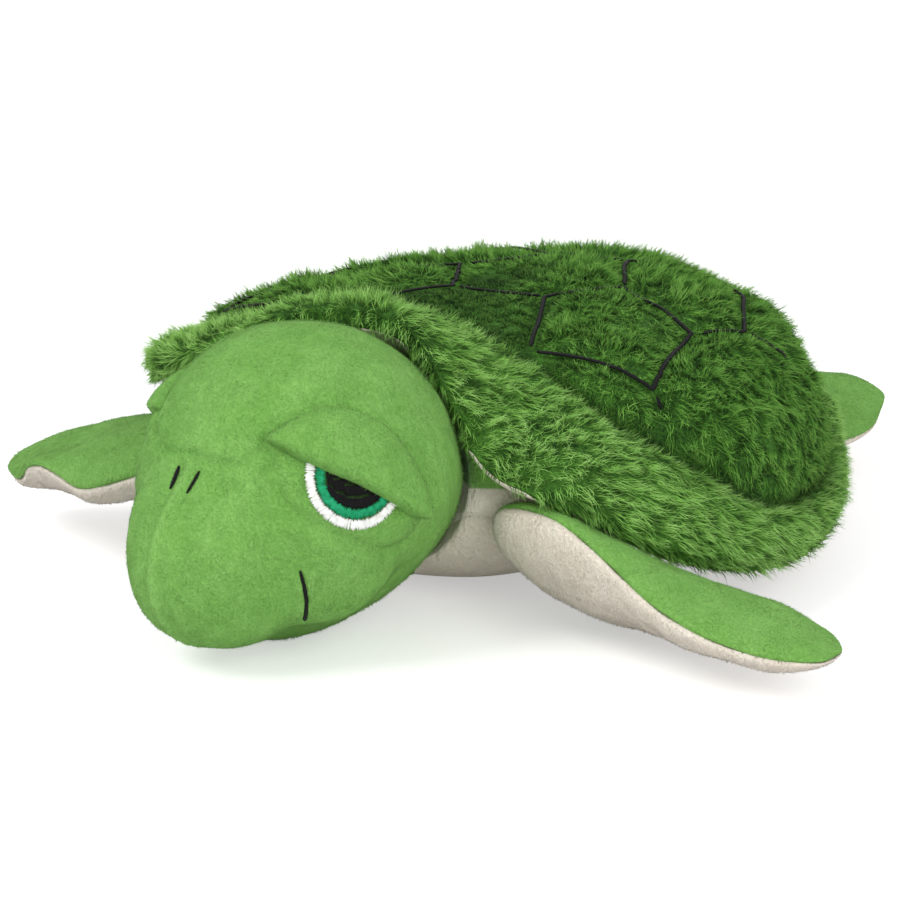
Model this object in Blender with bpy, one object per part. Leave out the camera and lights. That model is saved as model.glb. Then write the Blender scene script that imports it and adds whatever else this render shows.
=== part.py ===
"""Plush sea turtle that lies flat, with a padded shell, a round head and four sewn flippers.

Metres, +Z up. The origin is on the floor under the middle of the shell, and the turtle
faces -Y, so its own left side is +X. Every stuffed form is a round cage of vertices that
is pushed out to the form's surface. Its cloth covers are panels of that surface with a
real thickness, and its filling is the same surface set in by the cloth and a seam gap.
"""

import bpy
import bmesh
from math import acos, atan2, ceil, cos, pi, radians, sin, sqrt
from mathutils import Matrix, Vector
from mathutils.bvhtree import BVHTree

COLLECTION_NAME = "plush_turtle"

# Cloth, seams and thread
CLOTH_THICKNESS = 0.0016
SEAM_GAP = 0.0004
THREAD_RADIUS = 0.0009
THREAD_STEP = 0.006
PATCH_THICKNESS = 0.0010

# Head, a ball of stuffing with a round beak
HEAD_RADIUS = 0.053
HEAD_FORWARD = 0.137
HEAD_HEIGHT = 0.0532
BEAK_RADIUS = 0.0295
BEAK_REACH = 0.0383
BEAK_DROP = 0.0164
BEAK_BLEND = 0.0142
CHEEK_RADIUS = 0.0313
CHEEK_REACH = 0.024
CHEEK_BLEND = 0.006
CHEEK_AZIMUTH = radians(48)
CHEEK_ELEVATION = radians(-22)
JAW_TRIM = 0.014
JAW_KEEL_SHARE = 0.1
HEAD_TURN = radians(-10)
CROWN_ANGLE = radians(54)

# Eyes, embroidered rings under a padded lid
EYE_AZIMUTH = radians(63)
EYE_ELEVATION = radians(17)
EYE_RADIUS = 0.0158
IRIS_RADIUS = 0.0125
PUPIL_RADIUS = 0.0093
LID_HALF_WIDTH = 0.034
LID_HEIGHT = 0.027
LID_PROUD = 0.0088
LID_SLOPE = radians(26)
LID_GAP = 0.0012

# Neck, a padded layer that the head ball turns in
NECK_THICKNESS = 0.0105
NECK_OPENING = radians(37)
NECK_TILT = radians(12)

# Body under the shell
BELLY_HALF_WIDTH = 0.096
BELLY_HALF_LENGTH = 0.106
BELLY_HALF_HEIGHT = 0.033
BELLY_BACK = 0.010
CHEST_HALF_WIDTH = 0.080
CHEST_HALF_LENGTH = 0.048
CHEST_HALF_HEIGHT = 0.042
CHEST_FORWARD = 0.064
CHEST_HEIGHT = 0.046
BODY_BLEND = 0.018
FLAT_DEPTH = 0.0005

# Shell, a domed pillow with a padded rim
SHELL_HALF_WIDTH = 0.128
SHELL_HALF_LENGTH = 0.132
SHELL_HEIGHT = 0.109
SHELL_LEAN = radians(9.5)
CROWN_BACK = 0.050
CROWN_HEIGHT = 0.0915
DOME_LEAN = radians(6)
DOME_SWELL_SHARE = 0.62
DOME_UNDER_HEIGHT = 0.048
DOME_UNDER_DROP = 0.020
RIM_THICKNESS = 0.019
RIM_TUCK = 0.008
RIM_SWELL_SHARE = 0.8
TURN_STEP_SHARE = 0.01

# Front flippers
FRONT_LENGTH_LEFT = 0.125
FRONT_LENGTH_RIGHT = 0.109
FRONT_CHORD_LEFT = 0.057
FRONT_CHORD_RIGHT = 0.059
FRONT_THICKNESS = 0.026
FRONT_ROOT_SIDE_LEFT = 0.0543
FRONT_ROOT_SIDE_RIGHT = 0.0588
FRONT_ROOT_FORWARD_LEFT = 0.100
FRONT_ROOT_FORWARD_RIGHT = 0.109
FRONT_ROOT_HEIGHT = 0.036
FRONT_DROP = 0.0205
FRONT_TWISTS_LEFT = (radians(60), radians(-10))
FRONT_TWISTS_RIGHT = (radians(-10), radians(-34))
FRONT_HEADING_LEFT = radians(-4)
FRONT_HEADING_RIGHT = radians(12)
FRONT_RAISE_LEFT = 0.0002
FRONT_RAISE_RIGHT = 0.0120

# Rear flippers
REAR_LENGTH = 0.095
REAR_CHORD = 0.054
REAR_THICKNESS = 0.019
REAR_ROOT_SIDE = 0.055
REAR_ROOT_BACK = 0.079
REAR_ROOT_HEIGHT = 0.0185
REAR_DROP = -0.008
REAR_TWISTS = (radians(0), radians(-24))
REAR_HEADING = radians(78)

# Outline of the shell from its front round to its rear on one side, as shares of the
# shell's half width, half length and height: the rim's outer edge, then the dome's foot
RIM_EDGE_SHARES = (
    (0.00, -0.795, 0.955), (0.29, -0.830, 0.890), (0.45, -0.870, 0.735),
    (0.64, -0.870, 0.610), (0.83, -0.725, 0.490), (0.965, -0.440, 0.405),
    (0.995, -0.110, 0.365), (0.945, 0.190, 0.375), (0.81, 0.485, 0.435),
    (0.62, 0.775, 0.475), (0.32, 0.945, 0.460), (0.00, 1.000, 0.440),
)
DRAPE_SHARES = ((0.24, -0.850, 0.740), (0.40, -0.875, 0.620))
RIM_EDGE_SHARES_LEFT = RIM_EDGE_SHARES[:1] + DRAPE_SHARES + RIM_EDGE_SHARES[3:]
DOME_FOOT_SHARES = (
    (0.00, -0.430, 0.790), (0.30, -0.475, 0.775), (0.47, -0.530, 0.735),
    (0.63, -0.540, 0.664), (0.78, -0.450, 0.570), (0.870, -0.270, 0.430),
    (0.890, -0.045, 0.375), (0.850, 0.200, 0.370), (0.700, 0.435, 0.410),
    (0.520, 0.645, 0.445), (0.27, 0.795, 0.450), (0.00, 0.845, 0.450),
)

# Colours as the eye reads them, on a scale of 0 to 255
LEAF_GREEN = (122, 190, 88)
SHELL_GREEN = (62, 118, 44)
RIM_GREEN = (84, 146, 58)
CREAM = (232, 222, 206)
WHITE_THREAD = (235, 235, 230)
TEAL_THREAD = (14, 136, 90)
BLACK_THREAD = (24, 22, 22)
STUFFING_WHITE = (240, 240, 238)
FULL_CHANNEL = 255
SHARP_ANGLE = radians(50)
BALL_SEGMENTS = 24
BALL_RINGS = 14
CLOTH_ROUGHNESS = 0.9
THREAD_ROUGHNESS = 0.45

FORWARD = Vector((0, -1, 0))
LEFT = Vector((1, 0, 0))
UP = Vector((0, 0, 1))


def clear_scene():
    for obj in list(bpy.data.objects):
        bpy.data.objects.remove(obj)


def linear(channel):
    share = channel / FULL_CHANNEL
    return share / 12.92 if share <= 0.04045 else ((share + 0.055) / 1.055) ** 2.4


def make_material(name, colour, roughness=CLOTH_ROUGHNESS):
    material = bpy.data.materials.get(name)
    if material:
        return material
    material = bpy.data.materials.new(name)
    material.use_nodes = True
    shader = material.node_tree.nodes["Principled BSDF"]
    shader.inputs["Base Color"].default_value = (*[linear(c) for c in colour], 1)
    shader.inputs["Roughness"].default_value = roughness
    shader.inputs["Metallic"].default_value = 0
    return material


def add_object(name, mesh, material, collection):
    mesh.materials.append(material)
    mesh.shade_smooth()
    mesh.set_sharp_from_angle(angle=SHARP_ANGLE)
    obj = bpy.data.objects.new(name, mesh)
    collection.objects.link(obj)
    return obj


def triangles(faces):
    """Faces of three or four corners as triangles, split the same way in every layer."""
    return [[face[0], *pair] for face in faces for pair in zip(face[1:], face[2:])]


class Form:
    """A stuffed form, whose vertices each keep a key and an outward normal.

    Panels are chosen by their faces' keys, and the shared normals give the cloth the
    same wall on both sides of a seam.
    """

    def __init__(self, shape, keys):
        shape.normal_update()
        self.keys = keys
        self.points = [vertex.co.copy() for vertex in shape.verts]
        self.normals = [vertex.normal.copy() for vertex in shape.verts]
        self.faces = [[vertex.index for vertex in face.verts] for face in shape.faces]
        shape.free()

    def layer(self, depth):
        """The form's vertices, set in along their normals by a depth."""
        return [point - normal * depth for point, normal in zip(self.points, self.normals)]

    def face_key(self, face):
        total = Vector((0, 0, 0))
        for index in face:
            total += self.keys[index]
        return total.normalized()

    def solid(self, name, depth):
        """A closed mesh of the whole form, set in by a depth."""
        mesh = bpy.data.meshes.new(name)
        mesh.from_pydata(self.layer(depth), [], triangles(self.faces))
        return mesh

    def panel(self, name, keep, thickness=CLOTH_THICKNESS):
        """The cloth of the faces whose key is kept, less half a seam gap all round."""
        shape = bmesh.new()
        kept = triangles([face for face in self.faces if keep(self.face_key(face))])
        used = sorted({index for face in kept for index in face})
        outer, inner = [{index: shape.verts.new(points[index]) for index in used}
                        for points in (self.layer(0), self.layer(thickness))]
        for face in kept:
            shape.faces.new([outer[index] for index in face])
        place = {vertex: index for index, vertex in outer.items()}
        walls = []
        shifts = {}
        for edge in [edge for edge in shape.edges if edge.is_boundary]:
            loop = edge.link_loops[0]
            walls.append((place[loop.vert], place[loop.link_loop_next.vert]))
            for vertex in edge.verts:
                inward = Vector((0, 0, 0))
                for face in vertex.link_faces:
                    inward += (face.calc_center_median() - vertex.co).normalized()
                normal = self.normals[place[vertex]]
                inward -= normal * inward.dot(normal)
                shifts[place[vertex]] = inward.normalized() * (SEAM_GAP / 2)
        for face in kept:
            shape.faces.new([inner[index] for index in reversed(face)])
        for start, end in walls:
            corners = [outer[end], outer[start], inner[start], inner[end]]
            if start > end:
                corners = corners[1:] + corners[:1]
            for corner in triangles([corners]):
                shape.faces.new(corner)
        for index, shift in shifts.items():
            outer[index].co += shift
            inner[index].co += shift
        mesh = bpy.data.meshes.new(name)
        shape.to_mesh(mesh)
        shape.free()
        return mesh


def ball_form(segments, rings, pole, place):
    """A form made from a UV sphere, keyed by the direction of each vertex on it."""
    shape = bmesh.new()
    bmesh.ops.create_uvsphere(shape, u_segments=segments, v_segments=rings, radius=1)
    turn = UP.rotation_difference(pole).to_matrix()
    bmesh.ops.rotate(shape, cent=(0, 0, 0), matrix=turn, verts=shape.verts)
    shape.verts.index_update()
    keys = [vertex.co.copy() for vertex in shape.verts]
    for vertex in shape.verts:
        vertex.co = place(vertex.co.copy())
    bmesh.ops.recalc_face_normals(shape, faces=shape.faces)
    return Form(shape, keys)


def ring_form(segments, sides, place):
    """A form made from a grid that is wrapped round into a ring, keyed by its section."""
    shape = bmesh.new()
    bmesh.ops.create_grid(shape, x_segments=segments, y_segments=sides, size=0.5)
    angles = {}
    for vertex in shape.verts:
        turn, share = vertex.co.x + 0.5, vertex.co.y + 0.5
        angles[vertex] = 2 * pi * share
        vertex.co = place(turn, 2 * pi * share)
    bmesh.ops.remove_doubles(shape, verts=shape.verts, dist=SEAM_GAP / 10)
    shape.verts.index_update()
    keys = [Vector((cos(angles[vertex]), sin(angles[vertex]), 0)) for vertex in shape.verts]
    bmesh.ops.recalc_face_normals(shape, faces=shape.faces)
    return Form(shape, keys)


def cut(obj, cutter):
    """Takes a cutter away from an object."""
    modifier = obj.modifiers.new("cut_by_" + cutter.name, "BOOLEAN")
    modifier.operation = "DIFFERENCE"
    modifier.object = cutter
    modifier.solver = "EXACT"


def make_cutter(name, mesh, collection):
    cutter = bpy.data.objects.new(name, mesh)
    collection.objects.link(cutter)
    cutter.display_type = "WIRE"
    cutter.hide_render = True
    return cutter


def ball_mesh(name, radius, centre):
    """A faceted ball that a true ball of the radius fits inside."""
    around = radius / (cos(pi / BALL_SEGMENTS) * cos(pi / (2 * BALL_RINGS)))
    shape = bmesh.new()
    bmesh.ops.create_uvsphere(shape, u_segments=BALL_SEGMENTS, v_segments=BALL_RINGS,
                              radius=around)
    bmesh.ops.translate(shape, vec=centre, verts=shape.verts)
    mesh = bpy.data.meshes.new(name)
    shape.to_mesh(mesh)
    shape.free()
    return mesh


def slab_mesh(name, size):
    """A block of the size whose top face lies on the floor's level, under the belly."""
    shape = bmesh.new()
    bmesh.ops.create_cube(shape, size=size)
    bmesh.ops.translate(shape, vec=-FORWARD * BELLY_BACK - UP * (size / 2), verts=shape.verts)
    mesh = bpy.data.meshes.new(name)
    shape.to_mesh(mesh)
    shape.free()
    return mesh


def exit_distance(direction, centre, radii):
    """How far a ray from the origin runs until it leaves an ellipsoid, or zero."""
    ray = Vector([d / r for d, r in zip(direction, radii)])
    middle = Vector([c / r for c, r in zip(centre, radii)])
    a = ray.dot(ray)
    b = ray.dot(middle)
    under = b * b - a * (middle.dot(middle) - 1)
    if under <= 0:
        return 0
    return (b + sqrt(under)) / a


def smooth_larger(first, second, blend):
    """The larger of two distances, with a fillet where they are near each other."""
    overlap = max(blend - abs(first - second), 0) / blend
    return max(first, second) + overlap * overlap * blend / 4


# Head

HEAD_CENTRE = FORWARD * HEAD_FORWARD + UP * HEAD_HEIGHT
HEAD_SEGMENTS = 20
HEAD_RINGS = 16
BEAK_OFFSET = FORWARD * BEAK_REACH - UP * BEAK_DROP
BEAK_AXIS = BEAK_OFFSET.normalized()
BEAK_CREASE = acos((HEAD_RADIUS ** 2 + BEAK_OFFSET.length_squared - BEAK_RADIUS ** 2)
                   / (2 * HEAD_RADIUS * BEAK_OFFSET.length))


def compass(azimuth, elevation):
    """A direction turned from straight ahead towards the left, and up."""
    return Vector((sin(azimuth) * cos(elevation), -cos(azimuth) * cos(elevation), sin(elevation)))


def head_distance(direction):
    """The head's surface, measured from the middle of its ball, which the jaw narrows."""
    off_keel = sqrt(direction.x ** 2 + JAW_KEEL_SHARE ** 2) - JAW_KEEL_SHARE
    jaw = 2 * off_keel * max(-direction.z, 0) * (1 - max(direction.y, 0))
    radius = HEAD_RADIUS - JAW_TRIM * jaw
    radius = smooth_larger(radius, exit_distance(direction, BEAK_OFFSET, (BEAK_RADIUS,) * 3),
                           BEAK_BLEND)
    for side in (-1, 1):
        cheek = compass(side * CHEEK_AZIMUTH, CHEEK_ELEVATION) * CHEEK_REACH
        reach = exit_distance(direction, cheek, (CHEEK_RADIUS,) * 3)
        radius = smooth_larger(radius, reach, CHEEK_BLEND)
    return radius


def head_point(direction, proud=0):
    return HEAD_CENTRE + direction * (head_distance(direction) + proud)


def on_beak(direction):
    return direction.angle(BEAK_AXIS) < BEAK_CREASE


def on_crown(direction):
    """Behind the beak, and within the crown's angle of the top about the beak's axis."""
    over = BEAK_AXIS.cross(LEFT)
    return not on_beak(direction) and abs(atan2(direction.x, direction.dot(over))) < CROWN_ANGLE


def make_head(parts, cloth, stuffing):
    form = ball_form(HEAD_SEGMENTS, HEAD_RINGS, BEAK_AXIS, head_point)
    panels = {
        "beak_cover_left": lambda d: on_beak(d) and d.x > 0,
        "beak_cover_right": lambda d: on_beak(d) and d.x < 0,
        "head_crown_cover": on_crown,
        "head_cheek_cover_left": lambda d: not on_beak(d) and not on_crown(d) and d.x > 0,
        "head_cheek_cover_right": lambda d: not on_beak(d) and not on_crown(d) and d.x < 0,
    }
    for name, keep in panels.items():
        add_object(name, form.panel(name, keep), cloth, parts)
    depth = CLOTH_THICKNESS + SEAM_GAP
    add_object("head_filling", form.solid("head_filling", depth), stuffing, parts)


# Eyes and eyelids

PATCH_SEGMENTS = 16
LID_SEGMENTS = 20
LID_RINGS = 12


def tangent_frame(normal):
    """Rows that point across, up and out where a surface has this normal."""
    across = UP.cross(normal).normalized()
    return across, normal.cross(across), normal


def patch_ring(name, side, inner, outer, height, material, parts):
    """An embroidered ring, or a disc where the inner radius is zero, on the head."""
    normal = compass(side * EYE_AZIMUTH, EYE_ELEVATION)
    across, up, out = tangent_frame(normal)
    segments = PATCH_SEGMENTS
    shape = bmesh.new()
    rings = []
    for radius, level in ((inner, height), (outer, height), (outer, height - PATCH_THICKNESS),
                          (inner, height - PATCH_THICKNESS)):
        if radius == 0:
            rings.append([shape.verts.new(head_point(normal, level))])
            continue
        row = []
        for step in range(segments):
            angle = 2 * pi * step / segments
            aim = out * HEAD_RADIUS + across * (cos(angle) * radius) + up * (sin(angle) * radius)
            row.append(shape.verts.new(head_point(aim.normalized(), level)))
        rings.append(row)
    for first, second in zip(rings, rings[1:] + rings[:1]):
        for step in range(segments):
            after = (step + 1) % segments
            corners = [first[step % len(first)], first[after % len(first)],
                       second[after % len(second)], second[step % len(second)]]
            corners = list(dict.fromkeys(corners))
            if len(corners) > 2:
                shape.faces.new(corners)
    bmesh.ops.recalc_face_normals(shape, faces=shape.faces)
    mesh = bpy.data.meshes.new(name)
    shape.to_mesh(mesh)
    shape.free()
    add_object(name, mesh, material, parts)


def make_eyes(parts, white, teal, black):
    proud = SEAM_GAP + PATCH_THICKNESS
    for side, word in ((1, "left"), (-1, "right")):
        patch_ring("eye_pupil_" + word, side, 0, PUPIL_RADIUS, proud, black, parts)
        patch_ring("eye_iris_" + word, side, PUPIL_RADIUS + SEAM_GAP, IRIS_RADIUS, proud,
                   teal, parts)
        patch_ring("eye_white_" + word, side, IRIS_RADIUS + SEAM_GAP, EYE_RADIUS, proud,
                   white, parts)


def make_eyelids(parts, cutters, cloth):
    """Half domes of padded cloth that hang over the upper half of each eye."""
    facet_sag = HEAD_RADIUS * (1 - cos(pi / HEAD_SEGMENTS))
    lift = LID_GAP + PATCH_THICKNESS + facet_sag
    bed = ball_form(HEAD_SEGMENTS, HEAD_RINGS, BEAK_AXIS, head_point).solid("eyelid_bed", -lift)
    bed = make_cutter("eyelid_bed", bed, cutters)
    for side, word in ((1, "left"), (-1, "right")):
        normal = compass(side * EYE_AZIMUTH, EYE_ELEVATION)
        across, up, out = tangent_frame(normal)
        slope = Matrix.Rotation(-side * LID_SLOPE, 3, out)
        across, up = slope @ across, slope @ up
        shape = bmesh.new()
        bmesh.ops.create_uvsphere(shape, u_segments=LID_SEGMENTS, v_segments=LID_RINGS,
                                  radius=1)
        frame = Matrix((across * LID_HALF_WIDTH, out * (2 * LID_PROUD), up * LID_HEIGHT)).transposed()
        for vertex in shape.verts:
            sag = out * ((vertex.co.x * LID_HALF_WIDTH) ** 2 / (2 * HEAD_RADIUS)
                         + (vertex.co.z * LID_HEIGHT) ** 2 / (2 * HEAD_RADIUS))
            vertex.co = frame @ vertex.co - sag
        bmesh.ops.bisect_plane(shape, geom=shape.verts[:] + shape.edges[:] + shape.faces[:],
                               plane_co=(0, 0, 0), plane_no=up, clear_inner=True)
        bmesh.ops.edgeloop_fill(shape, edges=[edge for edge in shape.edges if edge.is_boundary])
        bmesh.ops.recalc_face_normals(shape, faces=shape.faces)
        bmesh.ops.translate(shape, vec=head_point(normal, -LID_PROUD), verts=shape.verts)
        mesh = bpy.data.meshes.new("eyelid_" + word)
        shape.to_mesh(mesh)
        shape.free()
        lid = add_object("eyelid_" + word, mesh, cloth, parts)
        cut(lid, bed)


# Embroidered lines

def thread_line(name, row, radius, material, parts):
    """A satin-stitched line, as a round tube on a smooth row of points."""
    curve = bpy.data.curves.new(name, "CURVE")
    curve.dimensions = "3D"
    curve.bevel_depth = radius
    curve.bevel_resolution = 1
    curve.use_fill_caps = True
    spline = curve.splines.new("POLY")
    spline.points.add(len(row) - 1)
    for target, point in zip(spline.points, row):
        target.co = (*point, 1)
    curve.materials.append(material)
    obj = bpy.data.objects.new(name, curve)
    parts.objects.link(obj)
    return obj


def row_on_head(corners, steps):
    """Points over the head through directions given as azimuth and elevation."""
    lift = THREAD_RADIUS + 2.5 * SEAM_GAP
    row = []
    for (first, second) in zip(corners, corners[1:]):
        for step in range(steps):
            share = step / steps
            azimuth = first[0] + (second[0] - first[0]) * share
            elevation = first[1] + (second[1] - first[1]) * share
            row.append(head_point(compass(azimuth, elevation), lift))
    row.append(head_point(compass(*corners[-1]), lift))
    return row


NOSTRIL_LINE = ((radians(5), radians(17)), (radians(3.8), radians(9.5)))
MOUTH_LINE = ((radians(44), radians(-15)), (radians(46), radians(-25)), (radians(45), radians(-41)))


def make_face_threads(parts, black):
    for side, word in ((1, "left"), (-1, "right")):
        for name, line in (("nostril_stitch_", NOSTRIL_LINE), ("mouth_stitch_", MOUTH_LINE)):
            corners = [(side * azimuth, elevation) for azimuth, elevation in line]
            thread_line(name + word, row_on_head(corners, 3), THREAD_RADIUS, black, parts)


# Body and neck

CHEST_CENTRE = FORWARD * CHEST_FORWARD + UP * CHEST_HEIGHT
BELLY_CENTRE = -FORWARD * BELLY_BACK + UP * (BELLY_HALF_HEIGHT - FLAT_DEPTH)
BODY_HEART = (CHEST_CENTRE + BELLY_CENTRE) / 2
BELLY_RADII = (BELLY_HALF_WIDTH, BELLY_HALF_LENGTH, BELLY_HALF_HEIGHT)
CHEST_RADII = (CHEST_HALF_WIDTH, CHEST_HALF_LENGTH, CHEST_HALF_HEIGHT)
BODY_SEGMENTS = 24
BODY_RINGS = 14
BODY_SEAM_SHARE = 0
NECK_SEGMENTS = 20
NECK_ROWS = 4


def body_point(direction, proud=0):
    belly = exit_distance(direction, BELLY_CENTRE - BODY_HEART, BELLY_RADII)
    chest = exit_distance(direction, CHEST_CENTRE - BODY_HEART, CHEST_RADII)
    return BODY_HEART + direction * (smooth_larger(belly, chest, BODY_BLEND) + proud)


def make_body(parts, green, cream, stuffing, neck_socket, floor_space):
    form = ball_form(BODY_SEGMENTS, BODY_RINGS, UP, body_point)
    pieces = [
        add_object("back_cover", form.panel("back_cover", lambda d: d.z > BODY_SEAM_SHARE),
                   green, parts),
        add_object("belly_cover", form.panel("belly_cover", lambda d: d.z < BODY_SEAM_SHARE),
                   cream, parts),
        add_object("body_filling", form.solid("body_filling", CLOTH_THICKNESS + SEAM_GAP),
                   stuffing, parts),
    ]
    for piece in pieces:
        cut(piece, neck_socket)
    cut(pieces[1], floor_space)


def make_neck(parts, cloth, stuffing):
    """A round layer between the head's ball and the body, open like a collar."""
    axis = Matrix.Rotation(-NECK_TILT, 3, LEFT) @ -FORWARD
    near = HEAD_RADIUS + SEAM_GAP
    far = HEAD_RADIUS + NECK_THICKNESS
    frame = UP.rotation_difference(axis).to_matrix()
    edge = (CLOTH_THICKNESS + SEAM_GAP) / HEAD_RADIUS
    for name, start, end, material in (
            ("neck_filling", 0, NECK_OPENING - edge, stuffing),
            ("neck_cover", NECK_OPENING - edge + SEAM_GAP / HEAD_RADIUS, NECK_OPENING, cloth)):
        rows = NECK_ROWS if start == 0 else 1
        profile = [(near, start + (end - start) * row / rows) for row in range(rows + 1)]
        profile += [(far, angle) for radius, angle in reversed(profile)]
        shape = bmesh.new()
        verts = [shape.verts.new((radius * sin(angle), 0, radius * cos(angle)))
                 for radius, angle in profile]
        edges = [shape.edges.new(pair) for pair in zip(verts, verts[1:] + verts[:1])]
        if start == 0:
            shape.edges.remove(edges.pop())
        bmesh.ops.spin(shape, geom=shape.verts[:] + shape.edges[:], cent=(0, 0, 0), axis=UP,
                       angle=2 * pi, steps=NECK_SEGMENTS, use_merge=True)
        bmesh.ops.remove_doubles(shape, verts=shape.verts, dist=SEAM_GAP / 10)
        bmesh.ops.recalc_face_normals(shape, faces=shape.faces)
        bmesh.ops.rotate(shape, cent=(0, 0, 0), matrix=frame, verts=shape.verts)
        bmesh.ops.translate(shape, vec=HEAD_CENTRE, verts=shape.verts)
        mesh = bpy.data.meshes.new(name)
        shape.to_mesh(mesh)
        shape.free()
        add_object(name, mesh, material, parts)


# Shell

SHELL_SIZE = (SHELL_HALF_WIDTH, SHELL_HALF_LENGTH, SHELL_HEIGHT)
CROWN = Vector((0, CROWN_BACK, CROWN_HEIGHT))
RIM_TILT = Matrix.Rotation(SHELL_LEAN, 4, -FORWARD)
DOME_TILT = Matrix.Rotation(DOME_LEAN, 4, -FORWARD)
DOME_SEGMENTS = 28
DOME_RINGS = 14
DOME_SEAM_SHARE = -0.05
RIM_SEGMENTS = 32
RIM_SIDES = 10
SETTLING_STEPS = 12


def outline(shares, turn, left_shares=None):
    """A point on a closed outline, where a turn of 0 is the front and 0.5 the rear."""
    last = len(shares) - 1
    place = turn % 1 * 2 * last
    first = int(place)
    share = place - first

    def corner(index):
        index %= 2 * last
        if index <= last:
            return Vector((left_shares or shares)[index])
        across, along, height = shares[2 * last - index]
        return Vector((-across, along, height))

    a, b, c, d = (corner(first + step) for step in (-1, 0, 1, 2))
    point = b + (c - a) * (share / 2)
    point += (a - b * 2.5 + c * 2 - d / 2) * share ** 2
    point += (b * 1.5 - a / 2 - c * 1.5 + d / 2) * share ** 3
    return Vector([value * size for value, size in zip(point, SHELL_SIZE)])


def direction_turn(direction):
    """How far round the shell a direction lies, from the front by way of the left."""
    return atan2(direction.x, -direction.y) / (2 * pi)


def dome_point(direction, proud=0):
    """The dome over its foot, and below the foot an underside that the body fills."""
    foot = DOME_TILT @ outline(DOME_FOOT_SHARES, direction_turn(direction))
    level = sqrt(max(1 - direction.z ** 2, 0))
    out = (foot - CROWN)
    out.z = 0
    if direction.z >= 0:
        flat = level ** DOME_SWELL_SHARE
        rise = abs(direction.z) ** DOME_SWELL_SHARE
        point = Vector((CROWN.x, CROWN.y, 0)) + out * flat
        point.z = foot.z + (CROWN.z - foot.z) * rise
    else:
        point = Vector((CROWN.x, CROWN.y, 0)) + out * level
        point.z = DOME_UNDER_HEIGHT + (foot.z - DOME_UNDER_HEIGHT) * level ** 2
        point.z -= DOME_UNDER_DROP * abs(direction.z) * level
    radial = Vector((out.x, out.y, 0)).normalized() * level + UP * direction.z
    return point + radial * proud


def rim_point(turn, angle):
    """The padded rim: flat sections from inside the dome's foot to the outer edge."""
    foot = DOME_TILT @ outline(DOME_FOOT_SHARES, turn)
    edge = RIM_TILT @ outline(RIM_EDGE_SHARES, turn, RIM_EDGE_SHARES_LEFT)
    across = edge - foot
    inner = foot - across.normalized() * RIM_TUCK
    middle = (inner + edge) / 2
    half = (edge - inner) / 2
    along = (outline(RIM_EDGE_SHARES, turn + TURN_STEP_SHARE)
             - outline(RIM_EDGE_SHARES, turn - TURN_STEP_SHARE))
    lift = half.cross(along).normalized()
    if lift.z < 0:
        lift.negate()
    width = abs(cos(angle)) ** RIM_SWELL_SHARE * (1 if cos(angle) > 0 else -1)
    return middle + half * width + lift * (sin(angle) * RIM_THICKNESS / 2)


def make_shell(parts, cutters, dome, dome_cloth, rim_cloth, lining, stuffing, clearances):
    depth = CLOTH_THICKNESS + SEAM_GAP
    pieces = [
        add_object("shell_dome_cover",
                   dome.panel("shell_dome_cover", lambda d: d.z > DOME_SEAM_SHARE),
                   dome_cloth, parts),
        add_object("shell_dome_filling", dome.solid("shell_dome_filling", depth), stuffing, parts),
    ]
    dome_space = make_cutter("dome_space", dome.solid("dome_space", -SEAM_GAP), cutters)
    rim = ring_form(RIM_SEGMENTS, RIM_SIDES, rim_point)
    rim_pieces = [
        add_object("shell_rim_cover", rim.panel("shell_rim_cover", lambda k: k.y > 0),
                   rim_cloth, parts),
        add_object("shell_rim_lining", rim.panel("shell_rim_lining", lambda k: k.y < 0),
                   lining, parts),
        add_object("shell_rim_filling", rim.solid("shell_rim_filling", depth), stuffing, parts),
    ]
    for piece in rim_pieces:
        cut(piece, dome_space)
    for piece in pieces + rim_pieces:
        for clearance in clearances:
            cut(piece, clearance)


# Stitched lines on the dome, as places over it in shares of the shell's half width and
# half length. The right side mirrors the left, a little nearer the middle because the
# dome's foot leans. The rim hides the mate of the front tail.
RIGHT_SIDE_SHARE = 0.94
SIDE_LINES = {
    "scute_ring": ((0.33, -0.435), (0.156, -0.061), (0.28, 0.17), (0.61, -0.055),
                   (0.70, -0.455), (0.36, -0.45)),
    "scute_arc": ((0.63, -0.03), (0.69, 0.10), (0.52, 0.44), (0.27, 0.68), (0.10, 0.52),
                  (0.265, 0.20)),
    "scute_tail": ((0.71, 0.11), (0.80, 0.14)),
}
MIDDLE_LINES = {
    "scute_front_tail": ((0.72, -0.465), (0.74, -0.480)),
    "scute_front_bar": ((0.135, -0.061), (-0.125, -0.061)),
    "scute_rear_bar": ((0.075, 0.52), (-0.068, 0.52)),
}


def over_dome(across, along):
    """The point of the dome over a place in plan."""
    aim = Vector((across * SHELL_HALF_WIDTH, along * SHELL_HALF_LENGTH, 0)) - CROWN
    aim.z = 0
    turn = direction_turn(aim)
    for _ in range(SETTLING_STEPS):
        foot = DOME_TILT @ outline(DOME_FOOT_SHARES, turn) - CROWN
        foot.z = 0
        turn += (direction_turn(aim) - direction_turn(foot) + 0.5) % 1 - 0.5
    level = min(aim.length / foot.length, 1) ** (1 / DOME_SWELL_SHARE)
    return dome_point(Vector((sin(2 * pi * turn) * level, -cos(2 * pi * turn) * level,
                              sqrt(1 - level ** 2))))


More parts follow.
